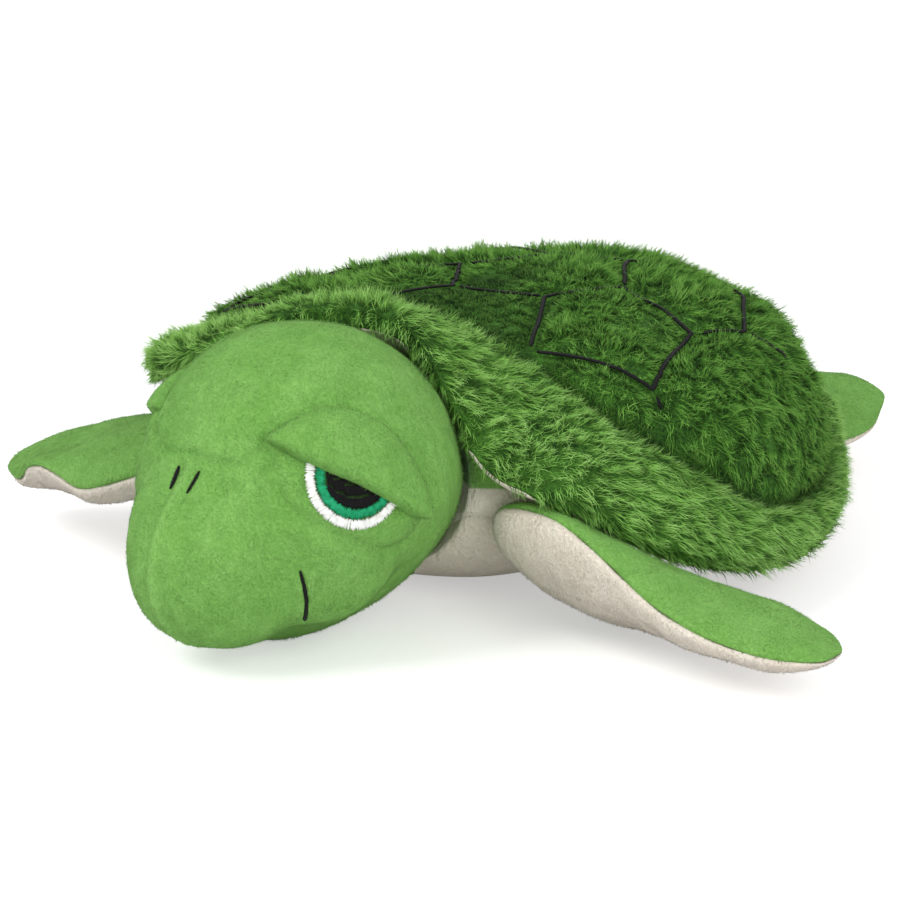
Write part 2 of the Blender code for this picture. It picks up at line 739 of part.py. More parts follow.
def make_scutes(parts, dome, black):
    """The black outlines of the shell's plates, which stop short of each other."""
    tree = BVHTree.FromPolygons(dome.points, triangles(dome.faces))
    lines = dict(MIDDLE_LINES)
    for name, line in SIDE_LINES.items():
        lines[name + "_left"] = line
        lines[name + "_right"] = [(-across * RIGHT_SIDE_SHARE, along) for across, along in line]
    for name, line in lines.items():
        row = [over_dome(*line[0])]
        for first, second in zip(line, line[1:]):
            run = (over_dome(*second) - over_dome(*first)).length
            steps = ceil(run / THREAD_STEP)
            row += [over_dome(*[a + (b - a) * step / steps for a, b in zip(first, second)])
                    for step in range(1, steps + 1)]
        seats = [tree.find_nearest(point) for point in row]
        row = [seat[0] + seat[1] * (THREAD_RADIUS + 1.5 * SEAM_GAP) for seat in seats]
        thread_line(name, row, THREAD_RADIUS, black, parts)


# Flippers

class Flipper:
    """A flat stuffed limb on a bent spine, with a cream underside.

    Its heading turns from straight out sideways towards the rear, and its twists at the
    root and the tip lift the leading edge.
    """

    segments = 10
    rings = 12
    bow_share = 0.03
    hinge_share = 0.02
    fall_share = 1.6
    root_chord_share = 0.68
    swell_share = 1.40
    taper_share = 1.55
    chord_round_share = 0.6
    lift_round_share = 0.8
    slimming_share = 0.45
    filling_reach_share = 0.88

    def __init__(self, name, side, root, heading, sizes, twists):
        self.name = name
        self.side = side
        self.root = root
        self.heading = heading
        self.length, self.drop, self.chord, self.thickness = sizes
        self.twists = twists

    def spine(self, share):
        """A point on the middle line, for the left side, by its share of the length."""
        ahead = Vector((cos(self.heading), sin(self.heading), 0))
        middle = self.root + ahead * (self.length * share)
        middle -= UP * (self.drop * (self.fall_share * share + (1 - self.fall_share) * share ** 2))
        return middle - self.leading() * (self.length * self.bow_share * sin(pi * share))

    def leading(self):
        """The direction from the spine to the front edge."""
        return Vector((sin(self.heading), -cos(self.heading), 0))

    def hinge(self):
        """The middle of the seam at the body that the limb flaps about."""
        middle = self.spine(self.hinge_share)
        return Vector((middle.x * self.side, middle.y, middle.z))

    def point(self, direction, inset=0):
        """Where a vertex of the round cage comes to lie, on the cover or set in from it."""
        along = direction.x * (self.filling_reach_share if inset else 1)
        share = (1 + along) / 2
        level = sqrt(max(1 - along ** 2, 0))
        rounding = sqrt(max(1 - direction.x ** 2, 0))
        middle = self.spine(share)
        leading = self.leading()
        twist = self.twists[0] + (self.twists[1] - self.twists[0]) * share ** 2 * (3 - 2 * share)
        chord_axis = leading * cos(twist) + UP * sin(twist)
        lift_axis = UP * cos(twist) - leading * sin(twist)
        width = self.root_chord_share + self.swell_share * share - self.taper_share * share ** 2
        half_chord = self.chord / 2 * width * level ** self.chord_round_share - inset
        slim = 1 - self.slimming_share * share
        half_lift = self.thickness / 2 * slim * level ** self.lift_round_share - inset
        if rounding > 0:
            inner = rounding if inset else 1
            middle += chord_axis * (half_chord * inner * -direction.y / rounding)
            middle += lift_axis * (half_lift * inner * direction.z / rounding)
        return Vector((middle.x * self.side, middle.y, middle.z))

    def make(self, parts, green, cream, stuffing):
        form = ball_form(self.segments, self.rings, LEFT, self.point)
        panels = {"_top": (lambda d: d.z > 0, green), "_underside": (lambda d: d.z < 0, cream)}
        for word, (keep, material) in panels.items():
            add_object(self.name + word, form.panel(self.name + word, keep), material, parts)
        inset = CLOTH_THICKNESS + 2 * SEAM_GAP
        form = ball_form(self.segments, self.rings, LEFT, lambda d: self.point(d, inset))
        filling = form.solid(self.name + "_filling", 0)
        add_object(self.name + "_filling", filling, stuffing, parts)


FRONT_SIZES_LEFT = (FRONT_LENGTH_LEFT, FRONT_DROP, FRONT_CHORD_LEFT, FRONT_THICKNESS)
FRONT_SIZES_RIGHT = (FRONT_LENGTH_RIGHT, FRONT_DROP, FRONT_CHORD_RIGHT, FRONT_THICKNESS)
REAR_SIZES = (REAR_LENGTH, REAR_DROP, REAR_CHORD, REAR_THICKNESS)
FRONT_ROOT_LEFT = Vector((FRONT_ROOT_SIDE_LEFT, -FRONT_ROOT_FORWARD_LEFT,
                          FRONT_ROOT_HEIGHT + FRONT_RAISE_LEFT))
FRONT_ROOT_RIGHT = Vector((FRONT_ROOT_SIDE_RIGHT, -FRONT_ROOT_FORWARD_RIGHT,
                           FRONT_ROOT_HEIGHT + FRONT_RAISE_RIGHT))
REAR_ROOT = Vector((REAR_ROOT_SIDE, REAR_ROOT_BACK, REAR_ROOT_HEIGHT))
FLIPPERS = (
    Flipper("front_left_flipper", 1, FRONT_ROOT_LEFT, FRONT_HEADING_LEFT, FRONT_SIZES_LEFT,
            FRONT_TWISTS_LEFT),
    Flipper("front_right_flipper", -1, FRONT_ROOT_RIGHT, FRONT_HEADING_RIGHT,
            FRONT_SIZES_RIGHT, FRONT_TWISTS_RIGHT),
    Flipper("rear_left_flipper", 1, REAR_ROOT, REAR_HEADING, REAR_SIZES, REAR_TWISTS),
    Flipper("rear_right_flipper", -1, REAR_ROOT, REAR_HEADING, REAR_SIZES, REAR_TWISTS),
)


def make_pivot(name, place, parts, pieces):
    """An empty on a joint's axis that carries the pieces which move there."""
    pivot = bpy.data.objects.new(name, None)
    parts.objects.link(pivot)
    pivot.location = place
    for piece in pieces:
        piece.parent = pivot
        piece.matrix_parent_inverse = Matrix.Translation(-place)
    return pivot


def make_pivots(parts):
    """The head nods in the neck's ball, the neck turns, and each flipper flaps."""
    def pieces(*starts):
        return [obj for obj in parts.objects if obj.name.startswith(starts)]

    nod = make_pivot("head_nod_axis", HEAD_CENTRE, parts,
                     pieces("head_", "beak_", "eye", "nostril_", "mouth_"))
    make_pivot("neck_turn_axis", HEAD_CENTRE, parts, [*pieces("neck_"), nod])
    for flipper in FLIPPERS:
        make_pivot(flipper.name + "_axis", flipper.hinge(), parts, pieces(flipper.name))


def main():
    clear_scene()
    parts = bpy.data.collections.new(COLLECTION_NAME)
    cutters = bpy.data.collections.new(COLLECTION_NAME + "_cutters")
    bpy.context.scene.collection.children.link(parts)
    bpy.context.scene.collection.children.link(cutters)
    leaf = make_material("leaf_green_plush", LEAF_GREEN)
    dome_green = make_material("shell_green_plush", SHELL_GREEN)
    rim_green = make_material("rim_green_plush", RIM_GREEN)
    cream = make_material("cream_plush", CREAM)
    stuffing = make_material("white_stuffing", STUFFING_WHITE)
    white = make_material("white_thread", WHITE_THREAD, THREAD_ROUGHNESS)
    teal = make_material("teal_thread", TEAL_THREAD, THREAD_ROUGHNESS)
    black = make_material("black_thread", BLACK_THREAD, THREAD_ROUGHNESS)

    make_head(parts, leaf, stuffing)
    make_eyes(parts, white, teal, black)
    make_eyelids(parts, cutters, leaf)
    make_face_threads(parts, black)
    about = Matrix.Translation(HEAD_CENTRE)
    turn = about @ Matrix.Rotation(HEAD_TURN, 4, UP) @ about.inverted()
    for obj in [*parts.objects, *cutters.objects]:
        obj.data.transform(turn)

    socket_radius = HEAD_RADIUS + NECK_THICKNESS + SEAM_GAP
    socket = make_cutter("neck_socket", ball_mesh("neck_socket", socket_radius, HEAD_CENTRE),
                         cutters)
    floor_space = make_cutter("floor_space", slab_mesh("floor_space", BELLY_HALF_LENGTH), cutters)
    make_body(parts, leaf, cream, stuffing, socket, floor_space)
    make_neck(parts, leaf, stuffing)
    body_space = ball_form(BODY_SEGMENTS, BODY_RINGS, UP, body_point)
    body_space = body_space.solid("body_space", -SEAM_GAP)
    head_space = ball_mesh("head_space", HEAD_RADIUS + 3 * SEAM_GAP, HEAD_CENTRE)
    clearances = [make_cutter("body_space", body_space, cutters),
                  make_cutter("head_space", head_space, cutters)]
    dome = ball_form(DOME_SEGMENTS, DOME_RINGS, UP, dome_point)
    make_shell(parts, cutters, dome, dome_green, rim_green, cream, stuffing, clearances)
    make_scutes(parts, dome, black)
    for flipper in FLIPPERS:
        flipper.make(parts, leaf, cream, stuffing)
    make_pivots(parts)


main()
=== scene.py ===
"""Dresses the plush turtle's frame in its cloth: short leaf-green plush on the head and
flippers, cream plush underneath, long dark-green pile on the shell, and embroidery.

Metres, +Z up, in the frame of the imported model. The turtle faces -Y, and its own left
side is +X.
"""

from math import acos, atan2, ceil, cos, pi, radians, sin, sqrt

import bmesh
import bpy
import numpy as np
from mathutils import Matrix, Vector
from mathutils.bvhtree import BVHTree


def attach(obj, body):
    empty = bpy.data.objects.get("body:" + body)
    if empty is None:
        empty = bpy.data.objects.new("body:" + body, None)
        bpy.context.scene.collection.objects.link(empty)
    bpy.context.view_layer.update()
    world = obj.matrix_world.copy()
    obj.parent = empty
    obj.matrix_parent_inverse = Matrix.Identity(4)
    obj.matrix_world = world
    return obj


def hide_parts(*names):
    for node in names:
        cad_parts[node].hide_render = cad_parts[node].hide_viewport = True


bl_info = {
    "name": "Plush turtle",
    "version": (1, 0, 0),
    "blender": (4, 5, 0),
    "location": "3D View > Sidebar > Turtle",
    "description": "Covers a stuffed turtle with plush, pile and embroidery",
    "category": "Object",
}

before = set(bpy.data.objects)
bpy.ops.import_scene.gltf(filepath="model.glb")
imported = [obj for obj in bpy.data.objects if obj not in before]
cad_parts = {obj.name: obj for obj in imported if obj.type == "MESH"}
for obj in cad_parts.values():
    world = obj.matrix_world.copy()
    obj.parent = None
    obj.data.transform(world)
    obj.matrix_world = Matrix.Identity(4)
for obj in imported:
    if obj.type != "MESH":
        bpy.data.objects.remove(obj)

UP = Vector((0, 0, 1))
BACK = Vector((0, 1, 0))
SIDES = ((1, "left"), (-1, "right"))

# Cloth and thread of the frame
CLOTH_THICKNESS = 0.0016
SEAM_GAP = 0.0004
PATCH_THICKNESS = 0.0010

# Head and beak
HEAD_RADIUS = 0.053
HEAD_CENTRE = Vector((0, -0.137, 0.0532))
HEAD_TURN = np.array(Matrix.Rotation(radians(-10), 3, "Z"))
BEAK_RADIUS = 0.0295
BEAK_OFFSET = Vector((0, -0.0383, -0.0164))
BEAK_BLEND = 0.0142
CHEEK_RADIUS = 0.0313
CHEEK_REACH = 0.024
CHEEK_BLEND = 0.006
CHEEK_PLACE = (48, -22)
JAW_TRIM = 0.014
JAW_KEEL_SHARE = 0.1

# Eyes: places and reaches in degrees, the rest in metres
EYE_PLACE = (63, 17)
EYE_SHIFT_RIGHT = 11
EYE_RADIUS = 0.0158
IRIS_RADIUS = 0.0125
PUPIL_RADIUS = 0.0093
EYE_PAD_PLACE = (65, 10)
EYE_PAD_REACH = (-34, -16)
EYE_PAD_HEIGHTS = {1: 0.0022, -1: 0.0004}
EYE_DIMPLE_REACH = (-24, -15)
EYE_DIMPLE_DEPTH = 0.0022
LID_EDGE_SHARE = 0.16
LID_SHARES = {1: 1, -1: 0.55}
LID_TUCK = 0.0003
LID_DEPTH = 0.0015

# Satin stitches: the unevenness of a ring's edges and angles, and the pupil's rows
RING_INNER_SPREAD = (-0.0003, 0.0005)
RING_OUTER_SPREAD = (-0.0003, 0.0006)
RING_ANGLE_SPREAD = (-0.02, 0.02)
LAYER_HEIGHT = 0.0001
STITCH_OVERLAP = 0.0004
RING_SPACING_SHARE = 1.5
LINE_SPACING_SHARE = 1.4
SATIN_SLANT = (-0.18, 0.18)
SATIN_SPREAD = (0.85, 1.12)
PUPIL_STITCH = 0.0022

# Neck and body
NECK_THICKNESS = 0.0105
NECK_OPENING = radians(37)
NECK_HIDDEN = radians(6)
NECK_AXIS = Matrix.Rotation(radians(-12), 3, Vector((1, 0, 0))) @ BACK
HEAD_CLEARANCE = 0.0028
BELLY_RADII = (0.096, 0.106, 0.033)
BELLY_CENTRE = Vector((0, 0.010, 0.0325))
CHEST_RADII = (0.080, 0.048, 0.042)
CHEST_CENTRE = Vector((0, -0.064, 0.046))
BODY_HEART = (CHEST_CENTRE + BELLY_CENTRE) / 2
BODY_BLEND = 0.018
BODY_SEAM_HEIGHT = 0.049
BODY_SEAM_WIDTH = 0.0012
BODY_LUMP_LENGTH = 0.03

# Shell
SHELL_SIZE = Vector((0.128, 0.132, 0.109))
CROWN = Vector((0, 0.050, 0.0915))
RIM_TILT = Matrix.Rotation(radians(9.5), 4, BACK)
DOME_TILT = Matrix.Rotation(radians(6), 4, BACK)
DOME_SWELL_SHARE = 0.62
DOME_UNDER = Vector((CROWN.x, CROWN.y - 0.03, 0.048))
DOME_PROUD = 0.0016
DOME_LUMPS = (0.0012, 0.04)
DOME_CLEARANCE = 0.003
QUILT_DEPTH = 0.0032
QUILT_WIDTH = 0.006
RIM_THICKNESS = 0.019
RIM_TUCK = 0.008
RIM_SWELL_SHARE = 0.8
RIM_CLEARANCE = 0.0022
RIM_GROOVE_WIDTH = 0.007
RIM_WRAP = radians(35)
RIM_BARE_TURN = 0.088
RIM_BARE_REACH = 0.038
RIM_BARE_EDGE = 0.02
TURN_STEP = 0.01
RIM_EDGE_SHARES = (
    (0.00, -0.795, 0.955), (0.29, -0.830, 0.890), (0.45, -0.870, 0.735),
    (0.64, -0.870, 0.610), (0.83, -0.725, 0.490), (0.965, -0.440, 0.405),
    (0.995, -0.110, 0.365), (0.945, 0.190, 0.375), (0.81, 0.485, 0.435),
    (0.62, 0.775, 0.475), (0.32, 0.945, 0.460), (0.00, 1.000, 0.440),
)
RIM_EDGE_SHARES_LEFT = (RIM_EDGE_SHARES[:1] + ((0.24, -0.850, 0.740), (0.40, -0.875, 0.620))
                        + RIM_EDGE_SHARES[3:])
DOME_FOOT_SHARES = (
    (0.00, -0.430, 0.790), (0.30, -0.475, 0.775), (0.47, -0.530, 0.735),
    (0.63, -0.540, 0.664), (0.78, -0.450, 0.570), (0.870, -0.270, 0.430),
    (0.890, -0.045, 0.375), (0.850, 0.200, 0.370), (0.700, 0.435, 0.410),
    (0.520, 0.645, 0.445), (0.27, 0.795, 0.450), (0.00, 0.845, 0.450),
)

# How pile lies: its rise, its gathering in tufts, the wind over it, and its seed
NAP_LAY = (0.6, 0.0, 0.5, 3)
NAP_COMB = (0.0, 0.3, -0.8)
NAP_SCATTER = 0.7
# The same for long pile, after how far it is combed outwards and backwards
DOME_LAY = (0.5, 0.2, 0.45, 140, 1.3, 20)
RIM_LAY = (0.55, 0.8, 0.25, 100, 0.6, 40)
DOWN_COMB = 0.7
PILE_CURL = 0.3
PILE_PIECES = 8
CLUMP_SCALE = 230.0
TUFT_SCALE = 130.0
WIND_SCALES = ((45.0, 1.2), (150.0, 1.8))
FIBRE_GROWTH = (0.7, 1.2)
TUFT_NOISE = (0.35, 0.65)
TUFT_GROWTH = (0.55, 1.2)
FIBRE_TINT = 0.45
# Painted shade: fibres that grow far from the middle of their tuft, between tufts, are darker
CLUMP_PAINTED_SHADE = 1.1
DENSITY_LIMIT = 1e7

# Noise in the cloth: scale, detail, distortion, roughness, and the part of it that is used
BROAD_PATCHES = (48.0, 2.0, 0.8, 0.55, 0.40, 0.62)
BRUSHED_PATCHES = (150.0, 4.0, 1.2, 0.6, 0.40, 0.62)
MOTTLE = (900.0, 3.0, 0.4, 0.65, 0.34, 0.66)
PILE_PATCHES = (38.0, 3.0, 0.5, 0.55, 0.36, 0.66)
THREAD_TONE = (500.0, 2.0, 0.0, 0.55, 0.35, 0.7)
THREAD_TWIST = (3200.0, 1.0, 0.0, 0.55, 0.0, 1.0)

# How much of each is mixed into the colour, and how far fibres take the light of their cloth
BROAD_SHARE = 0.5
BRUSHED_SHARE = 0.38
MOTTLE_SHARE = 0.32
# The painted highlight along the ridge of the beak's seam
SEAM_HIGHLIGHT_SHARE = 0.5
# Painted light on the nap's tips, which offsets the shade the fibres cast on each other
NAP_TIP_PAINTED_LIGHT = 0.7
PILE_PATCH_SHARE = 0.3
# Painted shade darkens the pile towards its roots; the second reach lightens it towards its tips
PILE_ROOT_REACH = (-0.45, 0.25)
PILE_TIP_REACH = (0.05, 0.95)
# Painted shade in the groove and over the dome's foot, as a share of the roots' colour
PILE_SHADE = 0.8
NAP_SOFTNESS = 0.92
PILE_SOFTNESS = 0.72

# Pile is bare or short near the stitched lines, and short and darkened with painted shade low over the
# dome's foot
LINE_BARE = (0.0009, 0.0017)
LINE_SHORT = (0.001, 0.006)
LINE_LEAST = 0.5
FOOT_SHORT = (0.002, 0.012)
FOOT_LEAST = 0.4
FOOT_SHADE = (0.001, 0.011)
# The rim's pile is bare, then short, towards its inner end, and shorter at the rear
RIM_END_BARE = (-0.86, -0.8)
RIM_END_SHORT = (-0.86, -0.66)
RIM_END_LEAST = 0.45
RIM_REAR = (0.0, 0.08)
RIM_REAR_TRIM = 0.35
RIM_GROOVE_TRIM = 0.6
RIM_INSET_EDGE = (0, 0.08)
# Where the nap of the head is bare: at its back, and round the lines and the eyes
HEAD_BACK_BARE = (-0.8, -0.75)
FACE_LINE_BARE = (0.0012, 0.0018)
EYE_BARE_EDGE = 0.0006

# Stitched lines over the dome, as shares of the shell's half width and half length
SCUTE_HALF_WIDTH = 0.0009
SCUTE_THREAD_RADIUS = 0.0005
RIGHT_SIDE_SHARE = 0.94
SIDE_LINES = {
    "scute_ring": ((0.33, -0.435), (0.156, -0.061), (0.28, 0.17), (0.61, -0.055),
                   (0.70, -0.455), (0.36, -0.45)),
    "scute_arc": ((0.63, -0.03), (0.69, 0.10), (0.52, 0.44), (0.27, 0.68), (0.10, 0.52),
                  (0.265, 0.20)),
    "scute_tail": ((0.71, 0.11), (0.80, 0.14)),
}
MIDDLE_LINES = {
    "scute_front_tail": ((0.72, -0.465), (0.74, -0.480)),
    "scute_front_bar": ((0.135, -0.061), (-0.125, -0.061)),
    "scute_rear_bar": ((0.075, 0.52), (-0.068, 0.52)),
}

# Lines on the left half of the face, in degrees round from the front and up
LID_TOP = ((30.2, 31.8), (40.1, 37.8), (53.7, 43.1), (65.4, 42.2), (79.5, 34.8), (85.7, 26.5),
           (89.4, 19.4), (91.2, 11.3), (92.2, -1.5))
LID_FOOT = ((30.4, 30.4), (37.7, 26.9), (45.9, 22.4), (53.9, 18.4), (61.6, 14.8), (68.6, 10.5),
            (76, 5.6), (82.2, 1.3), (91.4, -2.1))
UNDER_EYE_CREASE = ((32, 27), (34.8, 17), (37.4, 10.4), (41.1, 6.4), (49.3, 1.3), (56, -2),
                    (68.6, -8.5), (74.4, -11.3), (88, -14))
CROWN_CREASE = ((0, 22.5), (6, 21.2), (16.8, 20.8), (22.8, 21), (28.9, 26.9), (30, 31))
NOSTRIL_LINE = ((5, 17), (3.8, 9.5))
MOUTH_LINE = ((43.6, -14.5), (44.9, -20.5), (45.7, -27), (45.5, -34), (44.9, -41))

# What sewing pulls into the head along each line: its depth and half width
HEAD_CREASES = (
    (UNDER_EYE_CREASE, 0.0022, 0.0024), (CROWN_CREASE, 0.0013, 0.0017), (LID_TOP, 0.0006, 0.0018),
    (MOUTH_LINE, 0.0009, 0.0016), (NOSTRIL_LINE, 0.0006, 0.0016),
)
FACE_STITCHES = (("nostril", NOSTRIL_LINE, 0.0010), ("mouth", MOUTH_LINE, 0.0007))

# The seam down the beak: a ridge of stitches between two valleys
BEAK_RIDGE_HEIGHT = 0.0008
BEAK_RIDGE_WIDTH = 0.0012
BEAK_VALLEY_DEPTH = 0.0004
BEAK_VALLEY_OFFSET = 0.003
BEAK_STITCH_LENGTH = 0.0028

CAMERA_PLACE = (31, 16)
CAMERA_DISTANCE = 0.9
CAMERA_TARGET = Vector((0.035, -0.10, 0.06))
FLOOR_REACH = 12.0
FLOOR_GLOW = 0.45


# Small tools

def linear(colour):
    """A colour as the eye reads it, as the light that Blender counts in."""
    return [c / 12.92 if c <= 0.04045 else ((c + 0.055) / 1.055) ** 2.4 for c in colour]


def sizes():
    return bpy.context.scene.turtle_sizes


def new_object(name, data, material=None):
    obj = bpy.data.objects.new(name, data)
    bpy.context.scene.collection.objects.link(obj)
    if material:
        data.materials.append(material)
    return obj


def dress(obj, body, nodes=()):
    """Declares what a piece is to the frame."""
    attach(obj, body)
    if nodes:
        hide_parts(*nodes)


def add_padded(mesh, body, finish, nodes):
    """A padded piece of cloth, whose slot is its finish."""
    obj = new_object(mesh.name, mesh, cloth(finish))
    dress(obj, body, nodes)
    return obj


def loft(name, rows, ring=False):
    """A closed mesh through rows of points; a row of one point closes an end."""
    shape = bmesh.new()
    lines = [[shape.verts.new(point) for point in row] for row in rows]
    pairs = list(zip(lines, lines[1:]))
    if ring:
        pairs.append((lines[-1], lines[0]))
    for first, second in pairs:
        count = max(len(first), len(second))
        for step in range(count):
            after = (step + 1) % count
            corners = list(dict.fromkeys((
                first[step % len(first)], first[after % len(first)],
                second[after % len(second)], second[step % len(second)])))
            if len(corners) > 2:
                shape.faces.new(corners)
    bmesh.ops.recalc_face_normals(shape, faces=shape.faces)
    mesh = bpy.data.meshes.new(name)
    shape.to_mesh(mesh)
    shape.free()
    mesh.shade_smooth()
    return mesh


def between(first, second, steps):
    """Points strictly between two points."""
    return [first.lerp(second, step / steps) for step in range(1, steps)]


def ramp(value, low, high):
    """Zero below low and one above high, with a soft turn at both ends."""
    share = np.clip((value - low) / (high - low), 0, 1)
    return share * share * (3 - 2 * share)


def bell(value, width):
    """One at zero, falling away on both sides of it."""
    return np.exp(-(value / width) ** 2)


def from_least(least, share):
    """From a least value up to one, as a share goes from zero to one."""
    return least + (1 - least) * share


def unit(rows):
    return rows / np.linalg.norm(rows, axis=1, keepdims=True)


def read(items, field):
    values = np.empty(len(items) * 3)
    items.foreach_get(field, values)
    return values.reshape(-1, 3)


def vertices(mesh):
    return read(mesh.vertices, "co")


def vertex_normals(mesh):
    return read(mesh.vertex_normals, "vector")


def set_vertices(mesh, points):
    mesh.vertices.foreach_set("co", np.asarray(points, float).ravel())
    mesh.update()


def add_attribute(mesh, name, values):
    values = np.asarray(values, float)
    kind, field = ("FLOAT", "value") if values.ndim == 1 else ("FLOAT_VECTOR", "vector")
    mesh.attributes.new(name, kind, "POINT").data.foreach_set(field, values.ravel())


def clear_ball(points, radius):
    """The points, with those inside a ball round the head's middle pushed out to its surface."""
    offsets = points - np.array(HEAD_CENTRE)
    lengths = np.linalg.norm(offsets, axis=1, keepdims=True)
    return np.array(HEAD_CENTRE) + offsets * np.maximum(1, radius / np.maximum(lengths, 1e-9))


def line_distance(points, line):
    """How far each point is from a line of straight runs."""
    nearest = np.full(len(points), np.inf)
    for start, end in zip(line, line[1:]):
        run = end - start
        share = np.clip((points - start) @ run / max(run @ run, 1e-12), 0, 1)
        nearest = np.minimum(nearest, np.linalg.norm(points - start - share[:, None] * run, axis=1))
    return nearest


def stuffing_lumps(points, depth, length=0.023):
    """The slow unevenness of hand stuffing, up to a depth either way."""
    waves = ((1.0, 0.3, 0.5, 0.4), (-0.4, 1.1, 0.2, 2.1), (0.3, -0.5, 1.2, 4.0),
             (0.9, 0.8, -0.7, 5.3), (-1.3, 0.5, 0.9, 1.2))
    total = np.zeros(len(points))
    for *direction, phase in waves:
        total += np.sin(points @ np.array(direction) * (2 * pi / length / 1.6) + phase)
    return total * (depth / len(waves) * 1.6)


# Node trees

class Graph:
    """Adds nodes to a tree. Where a node takes a value, a socket or another node may stand."""

    def __init__(self, tree):
        self.tree = tree

    def add(self, kind, inputs=None, **settings):
        node = self.tree.nodes.new(kind)
        for key, value in settings.items():
            setattr(node, key, value)
        for key, value in (inputs or {}).items():
            self.plug(value, node.inputs[key])
        return node

    def plug(self, value, socket):
        if isinstance(value, bpy.types.Node):
            value = value.outputs[0]
        if isinstance(value, bpy.types.NodeSocket):
            self.tree.links.new(value, socket)
        else:
            socket.default_value = (*value, 1) if socket.type == "RGBA" else value

    def math(self, operation, first, second):
        return self.add("ShaderNodeMath", {0: first, 1: second}, operation=operation).outputs[0]

    def vector(self, operation, *values):
        return self.add("ShaderNodeVectorMath", dict(enumerate(values)), operation=operation)

    def scaled(self, value, scale):
        return self.add("ShaderNodeVectorMath", {0: value, "Scale": scale}, operation="SCALE")

    def random(self, seed, low, high):
        """A random number or vector for each point."""
        kind = "FLOAT_VECTOR" if hasattr(low, "__len__") else "FLOAT"
        node = self.add("FunctionNodeRandomValue", {"Min": low, "Max": high, "Seed": seed},
                        data_type=kind)
        return next(socket for socket in node.outputs if socket.enabled)

    def named(self, name, kind="FLOAT"):
        """An attribute of the mesh, in a geometry tree."""
        node = self.add("GeometryNodeInputNamedAttribute", {"Name": name}, data_type=kind)
        return next(s for s in node.outputs if s.enabled and s.name == "Attribute")

    def store(self, geometry, name, value, domain="POINT", kind="FLOAT"):
        return self.add("GeometryNodeStoreNamedAttribute",
                        {"Geometry": geometry, "Name": name, "Value": value},
                        data_type=kind, domain=domain)

    def scatter(self, points, shape, aim, size):
        return self.add("GeometryNodeInstanceOnPoints", {
            "Points": points, "Instance": shape, "Rotation": aim, "Scale": size})

    def attribute(self, name, output="Fac"):
        """An attribute of the mesh, in a material."""
        return self.add("ShaderNodeAttribute", attribute_name=name).outputs[output]

    def place(self):
        return self.add("ShaderNodeTexCoord").outputs["Object"]

    def noise(self, place, scale, detail, distortion, roughness, low, high):
        """Noise whose values between low and high are spread over the whole of zero to one."""
        made = self.add("ShaderNodeTexNoise", {
            "Vector": place, "Scale": scale, "Detail": detail, "Distortion": distortion,
            "Roughness": roughness})
        return self.span(made, low, high)

    def span(self, value, low, high, bottom=0.0, top=1.0):
        """Spreads the values between low and high over the whole of bottom to top."""
        return self.add("ShaderNodeMapRange", {
            "Value": value, "From Min": low, "From Max": high, "To Min": bottom,
            "To Max": top}).outputs["Result"]

    def mix(self, share, first, second):
        """From the first colour to the second one."""
        return self.add("ShaderNodeMix", {0: share, 6: first, 7: second},
                        data_type="RGBA").outputs[2]


def new_tree(name, inputs):
    """A Geometry Nodes tree with a geometry in and out, and named inputs for its sizes."""
    tree = bpy.data.node_groups.new(name, "GeometryNodeTree")
    for label, kind in {"Geometry": "Geometry", **inputs}.items():
        tree.interface.new_socket(label, in_out="INPUT", socket_type="NodeSocket" + kind)
    tree.interface.new_socket("Geometry", in_out="OUTPUT", socket_type="NodeSocketGeometry")
    return Graph(tree), tree.nodes.new("NodeGroupInput").outputs


def finish_tree(g, geometry, material):
    """Makes instances real, sets the material and ends the tree."""
    real = g.add("GeometryNodeRealizeInstances", {"Geometry": geometry})
    smooth = g.add("GeometryNodeSetShadeSmooth", {"Geometry": real})
    dressed = g.add("GeometryNodeSetMaterial", {"Geometry": smooth, "Material": material})
    g.add("NodeGroupOutput", {"Geometry": dressed})
    return g.tree


def run_tree(tree, mesh, name, values):
    """The plain mesh object that a tree makes from a mesh."""
    carrier = new_object(name + "_carrier", mesh)
    modifier = carrier.modifiers.new(tree.name, "NODES")
    modifier.node_group = tree
    for item in tree.interface.items_tree:
        if item.in_out == "INPUT" and item.name in values:
            modifier[item.identifier] = values[item.name]
    graph = bpy.context.evaluated_depsgraph_get()
    made = bpy.data.meshes.new_from_object(carrier.evaluated_get(graph),
                                           preserve_all_data_layers=True, depsgraph=graph)
    carrier.modifiers.remove(modifier)
    bpy.data.objects.remove(carrier)
    made.name = name
    return new_object(name, made)


